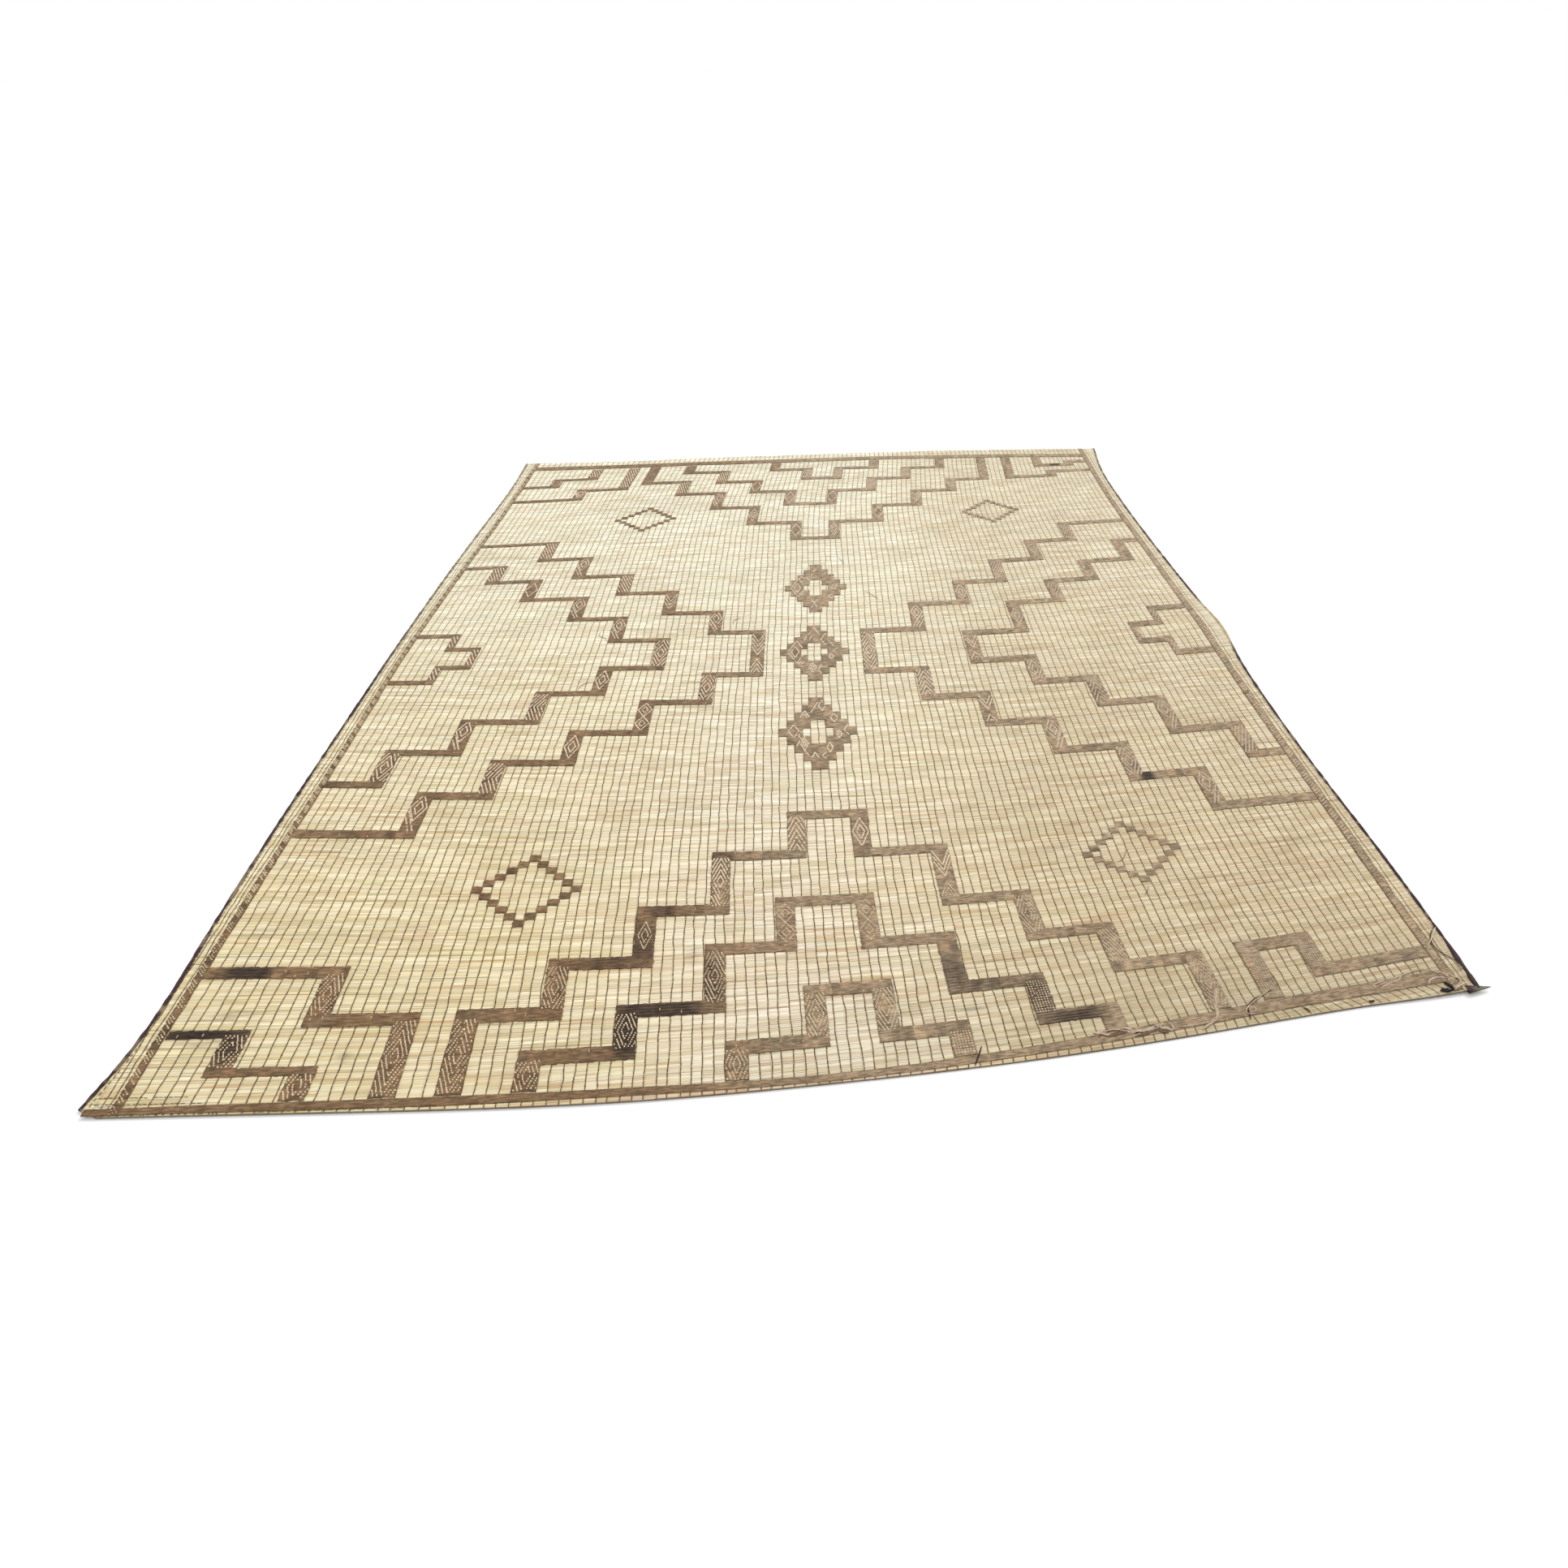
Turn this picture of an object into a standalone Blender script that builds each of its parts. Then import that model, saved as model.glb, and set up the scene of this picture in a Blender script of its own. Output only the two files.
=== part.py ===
"""A large Tuareg mat lying flat: fine reeds across its width, bound by lengthwise leather thongs.

Brown leather bands are woven into the reeds in stepped and diamond figures, and a dark leather
binding closes each long edge. Metres, +Z up, the origin in the middle of the mat on the floor,
+Y towards the far end.

The pattern is laid out on an even chart: u across the mat and v along it, with the thongs at
whole steps of u. The real mat is handmade and lies a little askew, so place() then carries each
chart point to where it lies on the floor.
"""

from collections import namedtuple

import bmesh
import bpy
import numpy as np

# Driving dimensions
THONG_PITCH = 0.0248
THONGS_EACH_SIDE = 59
EDGE_THONG = 1.476
HALF_WIDTH = 1.495
NEAR_EDGE = -2.150
FAR_EDGE = 2.215
REED_THICKNESS = 0.0050
THONG_RISE = 0.0008
THONG_HALF_WIDTH = 0.0016
LEATHER_THICKNESS = 0.0010
SEAT_GAP = 0.0003
SIDE_GAP = 0.0015

# Leather strips
BAND_ROW_WIDTH = 0.044
ROW_NARROWING = 0.0035
SIDE_BORDER_INNER_THONG = 58
SIDE_BORDER_OUTER_THONG = 58.85
SIDE_BORDER_INSET = 0.004
NEAR_BORDER_ROW = -2.120
FAR_BORDER_ROW = 2.125
BORDER_SPACING = 0.10

# Edge binding
BINDING_FLANGE = 0.009
BINDING_LEATHER = 0.0018
TAIL_ACROSS = 0.034
TAIL_ALONG = 0.006
TAIL_HEIGHT = 0.0050

# Loose thongs
LOOSE_WIDTH = 0.0040
LOOSE_HEIGHT = 0.0018
LOOSE_STEPS = 2

# Heights above the floor
RIB_TOP = REED_THICKNESS + THONG_RISE
LEATHER_BOTTOM = RIB_TOP + SEAT_GAP
LEATHER_TOP = LEATHER_BOTTOM + LEATHER_THICKNESS

# Where the chart's middle lies, seen from the middle of the finished mat's outline
CHART_ORIGIN_X = 0.0095
CHART_ORIGIN_Y = -0.121

# Rows of reeds that carry the mat's mesh, as shares of its length from the near edge
MESH_ROWS = (0.0, 0.034, 0.149, 0.241, 0.332, 0.435, 0.493, 0.550, 0.664, 0.813, 0.939, 1.0)

# How far the handmade rows and thongs wander from the even chart, at five places across
Drift = namedtuple("Drift", "row at_left left_quarter middle right_quarter at_right")
DRIFT_ACROSS = 1.5
DRIFT_BEYOND = 0.1
ROW_DRIFT = (
    Drift(-2.15, 0.020, -0.010, 0.010, 0.085, 0.195),
    Drift(-1.50, 0.070, 0.005, -0.020, 0.010, 0.085),
    Drift(-0.75, 0.070, 0.005, -0.035, -0.025, 0.040),
    Drift(0.00, 0.025, -0.005, -0.035, -0.020, 0.045),
    Drift(0.75, -0.035, -0.015, -0.025, 0.005, 0.085),
    Drift(1.50, -0.045, 0.015, 0.025, 0.055, 0.125),
    Drift(2.20, 0.095, 0.155, 0.150, 0.145, 0.175),
)
THONG_DRIFT = (
    Drift(-2.15, -0.045, 0.030, 0.025, 0.030, 0.000),
    Drift(-1.50, -0.045, -0.005, -0.005, -0.005, 0.000),
    Drift(-0.75, -0.040, -0.020, -0.020, -0.015, -0.005),
    Drift(0.00, -0.045, -0.010, -0.025, -0.020, 0.000),
    Drift(0.75, -0.025, -0.010, -0.015, -0.015, -0.005),
    Drift(1.50, 0.005, 0.010, 0.000, -0.005, -0.010),
    Drift(2.20, 0.020, 0.080, 0.065, 0.050, 0.010),
)

# The outline's own unevenness, and that of the end borders' middle line and width
EndWander = namedtuple("EndWander", "across near_edge far_edge near_border far_border near_width far_width")
END_WANDER = (
    EndWander(-1.50, 0.020, 0.000, -0.002, 0.003, 0.030, 0.044),
    EndWander(-1.00, 0.012, -0.030, -0.003, -0.017, 0.036, 0.044),
    EndWander(-0.50, -0.002, -0.013, -0.008, -0.011, 0.034, 0.044),
    EndWander(0.00, -0.006, 0.014, -0.021, 0.014, 0.022, 0.046),
    EndWander(0.50, -0.013, 0.044, -0.010, 0.028, 0.028, 0.046),
    EndWander(1.00, -0.013, 0.034, 0.010, 0.016, 0.040, 0.044),
    EndWander(1.50, -0.028, 0.000, -0.004, -0.026, 0.050, 0.042),
)
SideWander = namedtuple("SideWander", "along left_edge right_edge")
SIDE_WANDER = (
    SideWander(-2.15, -0.018, 0.010),
    SideWander(-2.00, 0.003, 0.013),
    SideWander(-1.50, 0.004, 0.012),
    SideWander(-1.10, -0.002, 0.005),
    SideWander(-0.70, -0.002, 0.003),
    SideWander(-0.25, 0.005, 0.010),
    SideWander(0.00, 0.006, 0.028),
    SideWander(0.25, 0.005, 0.018),
    SideWander(0.75, 0.000, 0.005),
    SideWander(1.40, -0.004, 0.003),
    SideWander(1.95, 0.003, 0.011),
    SideWander(2.20, -0.004, 0.037),
)

# A stepped band: thong numbers of its lengthwise parts and how many pitches wide they are, chart
# rows of its crosswise parts and how wide they are as a share of a full row
Band = namedtuple("Band", "name starts thongs rows strands row_share", defaults=(1.0,))
BANDS = (
    Band("left_outer_band", "side", (-46, -39.2, -31, -23, -15.2, -8.4, -15.3, -23, -31, -39, -46),
         (-1.160, -0.960, -0.770, -0.585, -0.380, -0.180, 0.170, 0.355, 0.560, 0.750, 0.960, 1.160), 2),
    Band("left_inner_band", "side", (-52.3, -45, -37.2, -30, -22.8, -30, -37, -45.4, -52.3),
         (-0.900, -0.710, -0.510, -0.310, -0.120, 0.110, 0.315, 0.525, 0.725, 0.895), 2),
    Band("left_hook", "side", (-52.6, -48.8, -52.6), (-0.215, -0.095, 0.060, 0.185), 1),
    Band("right_outer_band", "side", (46, 38, 30.2, 22.7, 15.2, 8, 16, 23.8, 31, 38.6, 46.3),
         (-1.190, -0.985, -0.790, -0.590, -0.390, -0.180, 0.150, 0.375, 0.570, 0.775, 0.965, 1.150), 2),
    Band("right_inner_band", "side", (54, 46, 38.4, 31, 23.3, 31.4, 39, 46.2, 54.2),
         (-0.915, -0.725, -0.505, -0.320, -0.135, 0.095, 0.345, 0.530, 0.705, 0.905), 2),
    Band("right_hook", "side", (52.5, 48.2, 52.5), (-0.175, -0.065, 0.080, 0.205), 1),
    Band("near_outer_medallion", "end", (-34, -26.8, -18.9, -11.5, -3.2, 4, 12.4, 19.9, 27, 34.4),
         (-1.875, -1.710, -1.515, -1.280, -1.085, -1.285, -1.530, -1.710, -1.875), 2),
    Band("near_middle_medallion", "end", (-28, -20, -11.9, -4.8, 3.5, 10.9, 18.2, 24),
         (-2.010, -1.880, -1.675, -1.495, -1.685, -1.885, -2.030), 2),
    Band("near_inner_medallion", "end", (-10, -2.6, 3.8, 10), (-2.020, -1.850, -2.025), 2),
    Band("far_outer_medallion", "end", (-35, -27.2, -19.2, -11.5, -3.2, 3.8, 12.2, 19.8, 27.2, 34.4),
         (1.865, 1.705, 1.520, 1.320, 1.125, 1.315, 1.500, 1.675, 1.815), 2),
    Band("far_middle_medallion", "end", (-27.8, -20.2, -12.6, -5.2, 3.2, 10.8, 17.8, 25.2),
         (1.985, 1.850, 1.715, 1.550, 1.710, 1.860, 2.000), 2),
    Band("far_inner_medallion", "end", (-10, -2.8, 3.6, 11), (2.005, 1.880, 2.015), 2),
    Band("near_left_outer_hook", "corner", (-46.5, -39), (-1.720, -1.875), 2),
    Band("near_left_inner_hook", "corner", (-52.3, -45.7), (-1.911, -2.020), 2, 0.70),
    Band("near_right_hook", "corner", (46.2, 40), (-2.010, -1.870), 2),
    Band("far_left_outer_hook", "corner", (-46.5, -39), (1.705, 1.810), 2),
    Band("far_left_inner_hook", "corner", (-52.3, -46), (1.880, 1.960), 2),
    Band("far_right_outer_hook", "corner", (49.2, 40), (1.875, 1.815), 2),
    Band("far_right_inner_hook", "corner", (54, 47), (2.010, 1.970), 2),
)

# Filled diamonds: half width in cells for each course, from one tip to the other
DIAMOND_HALF_WIDTHS = (1, 2, 3, 4, 5, 4, 3, 2, 1)
DIAMOND_GAP_HALF_WIDTHS = (1, 2, 1)
FilledDiamond = namedtuple("FilledDiamond", "name thong row course")
FILLED_DIAMONDS = (
    FilledDiamond("near_filled_diamond", 0, -0.600, 0.0520),
    FilledDiamond("middle_filled_diamond", 0, -0.015, 0.0500),
    FilledDiamond("far_filled_diamond", 0.3, 0.575, 0.0530),
)

# Outlined diamonds: a ring of squares, eleven courses from tip to tip
RING_REACH = 5
RING_OVERLAP = 0.0010
OutlinedDiamond = namedtuple("OutlinedDiamond", "name thong row course")
OUTLINED_DIAMONDS = (
    OutlinedDiamond("near_left_outlined_diamond", -31.5, -1.415, 0.0277),
    OutlinedDiamond("near_right_outlined_diamond", 33.5, -1.375, 0.0280),
    OutlinedDiamond("far_left_outlined_diamond", -31.5, 1.405, 0.0262),
    OutlinedDiamond("far_right_outlined_diamond", 33.8, 1.370, 0.0266),
)

# Loose thongs: chart points that the eye sees along each one
LooseThong = namedtuple("LooseThong", "name points")
LOOSE_THONGS = (
    LooseThong("loose_thong_border",
               ((0.540, -2.118), (0.582, -2.108), (0.626, -2.124), (0.668, -2.128), (0.702, -2.116))),
    LooseThong("loose_thong_hook",
               ((0.864, -2.013), (0.840, -2.070), (0.836, -2.112), (0.810, -2.130), (0.762, -2.135),
                (0.722, -2.130))),
    LooseThong("loose_thong_curl",
               ((0.997, -2.051), (0.953, -2.076), (0.917, -2.102), (0.905, -2.124), (0.927, -2.131))),
    LooseThong("loose_thong_loop",
               ((1.253, -2.116), (1.292, -2.105), (1.337, -2.090), (1.382, -2.082), (1.411, -2.092),
                (1.428, -2.116))),
)

# Finish of each material
Finish = namedtuple("Finish", "name colour roughness")
REED = Finish("reed", (0.78, 0.69, 0.48), 0.55)
BROWN_LEATHER = Finish("brown_leather", (0.22, 0.14, 0.09), 0.70)
DARK_LEATHER = Finish("dark_leather", (0.030, 0.020, 0.022), 0.60)
THONG_LEATHER = Finish("thong_leather", (0.30, 0.22, 0.15), 0.75)


def smooth_lookup(at, stations, values):
    """Return a smooth curve through the stations' values, read at the given places.

    Each stretch is a cubic whose end slopes are the mean slopes of its neighbours.
    """
    stations = np.asarray(stations, float)
    values = np.asarray(values, float)
    at = np.clip(np.asarray(at, float), stations[0], stations[-1])
    slopes = np.gradient(values, stations)
    index = np.clip(np.searchsorted(stations, at) - 1, 0, len(stations) - 2)
    span = stations[index + 1] - stations[index]
    share = (at - stations[index]) / span
    rise = share * share * (3 - 2 * share)
    return (
        values[index] * (1 - rise)
        + values[index + 1] * rise
        + span * slopes[index] * share * (1 - share) ** 2
        - span * slopes[index + 1] * share * share * (1 - share)
    )


def drift(table, u, v):
    """Return a table's drift at each chart point: smooth along the mat, then smooth across it."""
    rows = [entry.row for entry in table]
    columns = [smooth_lookup(v, rows, values) for values in list(zip(*table))[1:]]
    places = np.linspace(-DRIFT_ACROSS, DRIFT_ACROSS, len(columns))
    step = places[1] - places[0]
    columns = np.array(columns)
    slopes = np.gradient(columns, step, axis=0)
    index = np.clip(((u - places[0]) / step).astype(int), 0, len(places) - 2)
    share = np.clip((u - places[index]) / step, -DRIFT_BEYOND, 1 + DRIFT_BEYOND)
    pick = np.arange(len(u))
    rise = share * share * (3 - 2 * share)
    return (
        columns[index, pick] * (1 - rise)
        + columns[index + 1, pick] * rise
        + step * slopes[index, pick] * share * (1 - share) ** 2
        - step * slopes[index + 1, pick] * share * share * (1 - share)
    )


def place(points):
    """Return where chart points (u, v) lie on the floor, as (x, y)."""
    points = np.asarray(points, float).reshape(-1, 2)
    u, v = points[:, 0], points[:, 1]
    x = u + drift(THONG_DRIFT, u, v) + CHART_ORIGIN_X
    y = v + drift(ROW_DRIFT, u, v) + CHART_ORIGIN_Y
    return np.column_stack((x, y))


def end_wander(u, column):
    """Return one column of the ends' wander at each u."""
    stations = [entry.across for entry in END_WANDER]
    return smooth_lookup(u, stations, [getattr(entry, column) for entry in END_WANDER])


def end_edge(u, end):
    """Return the chart row of the mat's near (-1) or far (+1) edge at each u."""
    if end < 0:
        return NEAR_EDGE + end_wander(u, "near_edge")
    return FAR_EDGE + end_wander(u, "far_edge")


def side_line(v, side):
    """Return the chart u of the left (-1) or right (+1) edge of the mat at each row v."""
    stations = [entry.along for entry in SIDE_WANDER]
    column = "left_edge" if side < 0 else "right_edge"
    return side * HALF_WIDTH + smooth_lookup(v, stations, [getattr(entry, column) for entry in SIDE_WANDER])


def make_material(finish):
    """Return a Principled material of one colour."""
    material = bpy.data.materials.new(finish.name)
    material.use_nodes = True
    shader = material.node_tree.nodes["Principled BSDF"]
    shader.inputs["Base Color"].default_value = (*finish.colour, 1.0)
    shader.inputs["Roughness"].default_value = finish.roughness
    shader.inputs["Metallic"].default_value = 0.0
    return material


def add_object(name, mesh_builder, material):
    """Link a new object whose faces point outwards."""
    bmesh.ops.recalc_face_normals(mesh_builder, faces=mesh_builder.faces)
    mesh = bpy.data.meshes.new(name)
    mesh_builder.to_mesh(mesh)
    mesh_builder.free()
    mesh.materials.append(material)
    made = bpy.data.objects.new(name, mesh)
    bpy.context.scene.collection.objects.link(made)
    return made


def add_plate(name, loops, bottom, top, material):
    """Add a flat plate between two heights from chart outlines: the outer one, then any holes."""
    builder = bmesh.new()
    for height in (bottom, top):
        edges = []
        for loop in loops:
            verts = [builder.verts.new((x, y, height)) for x, y in place(loop)]
            edges += [builder.edges.new((a, b)) for a, b in zip(verts, verts[1:] + verts[:1])]
        bmesh.ops.triangle_fill(builder, edges=edges, use_beauty=True)
    builder.verts.ensure_lookup_table()
    half = len(builder.verts) // 2
    start = 0
    for loop in loops:
        count = len(loop)
        for step in range(count):
            first, second = start + step, start + (step + 1) % count
            corners = (first, second, second + half, first + half)
            builder.faces.new([builder.verts[corner] for corner in corners])
        start += count
    return add_object(name, builder, material)


def add_reed_mat(material):
    """Add the reed mat: a flat slab whose upper face rises in a rib along each thong."""
    numbers = np.arange(-THONGS_EACH_SIDE, THONGS_EACH_SIDE + 1)
    thongs = np.concatenate(([-EDGE_THONG], numbers * THONG_PITCH, [EDGE_THONG]))
    ribs = (thongs[:, None] + np.array((-1, 0, 1)) * THONG_HALF_WIDTH).ravel()
    rises = np.tile((0.0, THONG_RISE, 0.0), len(thongs))
    columns = len(ribs) + 2
    builder = bmesh.new()
    grid = []
    rim = []
    for share in MESH_ROWS:
        middle_row = NEAR_EDGE + share * (FAR_EDGE - NEAR_EDGE)
        u = np.concatenate((side_line([middle_row], -1), ribs, side_line([middle_row], 1)))
        near = end_edge(u, -1)
        far = end_edge(u, 1)
        flat = place(np.column_stack((u, near + share * (far - near))))
        heights = REED_THICKNESS + np.concatenate(([0.0], rises, [0.0]))
        grid.append([builder.verts.new((x, y, z)) for (x, y), z in zip(flat, heights)])
        on_rim = [share in (0.0, 1.0) or column in (0, columns - 1) for column in range(columns)]
        rim.append([builder.verts.new((x, y, 0.0)) if outer else None for (x, y), outer in zip(flat, on_rim)])
    bands = list(zip(grid, grid[1:])) + [(grid[0], rim[0]), (grid[-1], rim[-1])]
    for column in (0, -1):
        bands.append(([row[column] for row in grid], [row[column] for row in rim]))
    for first, second in bands:
        for near_left, near_right, far_right, far_left in zip(first, first[1:], second[1:], second):
            builder.faces.new((near_left, near_right, far_right, far_left))
    right_side = [row[-1] for row in rim[1:-1]]
    left_side = [row[0] for row in rim[-2:0:-1]]
    builder.faces.new(rim[0] + right_side + rim[-1][::-1] + left_side)
    return add_object("reed_mat", builder, material)


def add_edge_binding(side, name, material, has_tail):
    """Add the leather strip that closes one long edge: a wall beside it and a flange over it.

    A tail runs on from the strip's near end to a point beside the mat's corner.
    """
    outer = SEAT_GAP + BINDING_LEATHER
    top = LEATHER_BOTTOM + BINDING_LEATHER
    section = (
        (SEAT_GAP, 0.0),
        (outer, 0.0),
        (outer, top),
        (-BINDING_FLANGE, top),
        (-BINDING_FLANGE, LEATHER_BOTTOM),
        (SEAT_GAP, LEATHER_BOTTOM),
    )
    rings = []
    builder = bmesh.new()
    for share in MESH_ROWS:
        edge = side_line([NEAR_EDGE + share * (FAR_EDGE - NEAR_EDGE)], side)[0]
        near = end_edge([edge], -1)[0]
        far = end_edge([edge], 1)[0]
        x, y = place([(edge, near + share * (far - near))])[0]
        rings.append([builder.verts.new((x + side * out, y, z)) for out, z in section])
    for near_ring, far_ring in zip(rings, rings[1:]):
        for index in range(len(section)):
            after = (index + 1) % len(section)
            builder.faces.new((near_ring[index], near_ring[after], far_ring[after], far_ring[index]))
    builder.faces.new(rings[-1])
    if has_tail:
        x, y, _ = rings[0][0].co
        tip = builder.verts.new((x + side * TAIL_ACROSS, y - TAIL_ALONG, TAIL_HEIGHT))
        for first, second in zip(rings[0], rings[0][1:] + rings[0][:1]):
            builder.faces.new((first, second, tip))
    else:
        builder.faces.new(rings[0])
    return add_object(name, builder, material)


def border_line(u, end, towards_middle):
    """Return the row of an end border's edge at each u.

    The end is -1 for the near border and +1 for the far one. The edge that faces the middle of the
    mat lies half the border's width inside its middle line, and the other edge as far outside.
    """
    name = "near" if end < 0 else "far"
    base = NEAR_BORDER_ROW if end < 0 else FAR_BORDER_ROW
    middle = base + end_wander(u, name + "_border")
    half = end_wander(u, name + "_width") / 2
    return middle - end * half if towards_middle else middle + end * half


def add_end_border(end, name, material):
    """Add the leather strip woven across one end, between the two side borders."""
    reach = SIDE_BORDER_INNER_THONG * THONG_PITCH - SIDE_GAP
    count = int(round(2 * reach / BORDER_SPACING))
    u = np.linspace(-reach, reach, count + 1)
    inner = np.column_stack((u, border_line(u, end, True)))
    outer = np.column_stack((u, border_line(u, end, False)))
    return add_plate(name, [np.vstack((inner, outer[::-1]))], LEATHER_BOTTOM, LEATHER_TOP, material)


def add_side_border(side, name, material):
    """Add the narrow leather strip that runs the whole length beside one long edge."""
    inner_u = side * SIDE_BORDER_INNER_THONG * THONG_PITCH
    outer_u = side * SIDE_BORDER_OUTER_THONG * THONG_PITCH
    near = end_edge([inner_u], -1)[0] + SIDE_BORDER_INSET
    far = end_edge([inner_u], 1)[0] - SIDE_BORDER_INSET
    count = int(round((far - near) / BORDER_SPACING))
    v = np.linspace(near, far, count + 1)
    inner = np.column_stack((np.full_like(v, inner_u), v))
    outer = np.column_stack((np.full_like(v, outer_u), v))
    return add_plate(name, [np.vstack((inner, outer[::-1]))], LEATHER_BOTTOM, LEATHER_TOP, material)


def band_path(band):
    """Return a stepped band's middle line, as chart points, from one end to the other.

    A crosswise part runs along a row from one thong to the next, and a lengthwise part along a
    thong from one row to the next. A band that starts at the side begins with a row, one that
    starts at the end border with a thong, and a corner hook begins at the side and finishes at
    the end border.
    """
    end = 1 if sum(band.rows) > 0 else -1
    side = 1 if band.thongs[0] > 0 else -1
    across = [thong * THONG_PITCH for thong in band.thongs]
    side_u = side * (SIDE_BORDER_INNER_THONG * THONG_PITCH - 2 * SIDE_GAP)
    if band.starts == "end":
        first = (across[0], border_line([across[0]], end, True)[0] - end * 2 * SIDE_GAP)
        turns = []
        for u, after, row in zip(across, across[1:], band.rows):
            turns += [(u, row), (after, row)]
    else:
        first = (side_u, band.rows[0])
        turns = [(across[0], band.rows[0])]
        for u, after, row in zip(across, across[1:] + [side_u], band.rows[1:]):
            turns += [(u, row), (after, row)]
    if band.starts == "side":
        return [first] + turns
    last = (across[-1], border_line([across[-1]], end, True)[0] - end * 2 * SIDE_GAP)
    return [first] + turns + [last]


def widened(path, strands, row_share):
    """Return the outline of a band: its middle line widened to both sides.

    Each part of the line moves sideways by half the band's width there, half a row's width where
    it runs across the mat and half the strands' pitch where it runs along it, and two parts that
    meet at a corner both move it. Rows get narrower towards the far end.
    """
    path = np.asarray(path, float)
    heading = np.sign(np.round(np.diff(path, axis=0), 6))
    row_widths = row_share * (BAND_ROW_WIDTH - ROW_NARROWING * path[1:, 1])
    half_widths = np.where(np.abs(heading[:, 0]) > 0, row_widths, strands * THONG_PITCH) / 2
    offsets = np.column_stack((-heading[:, 1], heading[:, 0])) * half_widths[:, None]
    before = np.vstack(([0.0, 0.0], offsets))
    after = np.vstack((offsets, [0.0, 0.0]))
    left = path + before + after
    right = path - before - after
    return np.vstack((left, right[::-1]))


def add_band(band, material):
    """Add one stepped band or hook."""
    outline = widened(band_path(band), band.strands, band.row_share)
    return add_plate(band.name, [outline], LEATHER_BOTTOM, LEATHER_TOP, material)


def stepped_outline(thong, row, half_widths, course, ease=0.0):
    """Return the stepped outline of a diamond whose courses have the given half widths in cells.

    The ease widens every course by that much on both sides.
    """
    count = len(half_widths)
    right = []
    for step, half in enumerate(half_widths):
        low = row + (step - count / 2) * course
        reach = half * THONG_PITCH + ease
        right += [(reach, low), (reach, low + course)]
    left = [(-reach, height) for reach, height in reversed(right)]
    return [(thong * THONG_PITCH + reach, height) for reach, height in right + left]


def add_filled_diamond(diamond, material):
    """Add a filled diamond with its cross-shaped gap of reeds."""
    outer = stepped_outline(diamond.thong, diamond.row, DIAMOND_HALF_WIDTHS, diamond.course)
    gap = stepped_outline(diamond.thong, diamond.row, DIAMOND_GAP_HALF_WIDTHS, diamond.course)
    return add_plate(diamond.name, [outer, gap], LEATHER_BOTTOM, LEATHER_TOP, material)


def add_outlined_diamond(diamond, material):
    """Add a ring of leather squares that meet at their corners."""
    outer_widths = [RING_REACH + 0.5 - abs(step) for step in range(-RING_REACH, RING_REACH + 1)]
    inner_widths = [RING_REACH - 0.5 - abs(step) for step in range(1 - RING_REACH, RING_REACH)]
    outer = stepped_outline(diamond.thong, diamond.row, outer_widths, diamond.course, RING_OVERLAP)
    inner = stepped_outline(diamond.thong, diamond.row, inner_widths, diamond.course, -RING_OVERLAP)
    return add_plate(diamond.name, [outer, inner], LEATHER_BOTTOM, LEATHER_TOP, material)


def add_loose_thong(thong, material):
    """Add a loose thong: a flat strip swept along its points, lying on the end border's leather."""
    points = place(thong.points)
    along = np.arange(len(points))
    steps = np.linspace(0, len(points) - 1, LOOSE_STEPS * (len(points) - 1) + 1)
    x = smooth_lookup(steps, along, points[:, 0])
    y = smooth_lookup(steps, along, points[:, 1])
    heading = np.column_stack((np.gradient(x), np.gradient(y)))
    heading /= np.linalg.norm(heading, axis=1)[:, None]
    sideways = np.column_stack((-heading[:, 1], heading[:, 0])) * LOOSE_WIDTH / 2
    low = LEATHER_TOP + SEAT_GAP
    high = low + LOOSE_HEIGHT
    builder = bmesh.new()
    rings = []
    for centre, offset in zip(np.column_stack((x, y)), sideways):
        left, right = centre + offset, centre - offset
        rings.append([builder.verts.new((*flat, height))
                      for flat, height in ((left, low), (right, low), (right, high), (left, high))])
    for first, second in zip(rings, rings[1:]):
        for index in range(4):
            after = (index + 1) % 4
            builder.faces.new((first[index], first[after], second[after], second[index]))
    builder.faces.new(rings[0])
    builder.faces.new(rings[-1])
    return add_object(thong.name, builder, material)


def main():
    """Clear the scene and build the mat, piece by piece."""
    for old in list(bpy.data.objects):
        bpy.data.objects.remove(old, do_unlink=True)
    reed = make_material(REED)
    brown = make_material(BROWN_LEATHER)
    dark = make_material(DARK_LEATHER)
    loose = make_material(THONG_LEATHER)

    add_reed_mat(reed)
    add_edge_binding(-1, "left_edge_binding", dark, has_tail=False)
    add_edge_binding(1, "right_edge_binding", dark, has_tail=True)
    add_end_border(-1, "near_border", brown)
    add_end_border(1, "far_border", brown)
    add_side_border(-1, "left_border", brown)
    add_side_border(1, "right_border", brown)
    for band in BANDS:
        add_band(band, brown)
    for diamond in FILLED_DIAMONDS:
        add_filled_diamond(diamond, brown)
    for diamond in OUTLINED_DIAMONDS:
        add_outlined_diamond(diamond, brown)
    for thong in LOOSE_THONGS:
        add_loose_thong(thong, loose)


main()
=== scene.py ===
"""The looks of a large Tuareg mat: fine reeds, lengthwise leather thongs and woven leather bands.

Every piece is worked out on an even chart, u across the mat and v along it, in metres. The chart is
then carried to the floor, where the handmade rows and thongs lie a little askew.
"""

import logging
import math
from dataclasses import dataclass
from enum import Enum
from functools import reduce
from typing import NamedTuple, Optional, Sequence

import bpy
import numpy as np
from mathutils import Matrix


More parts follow.
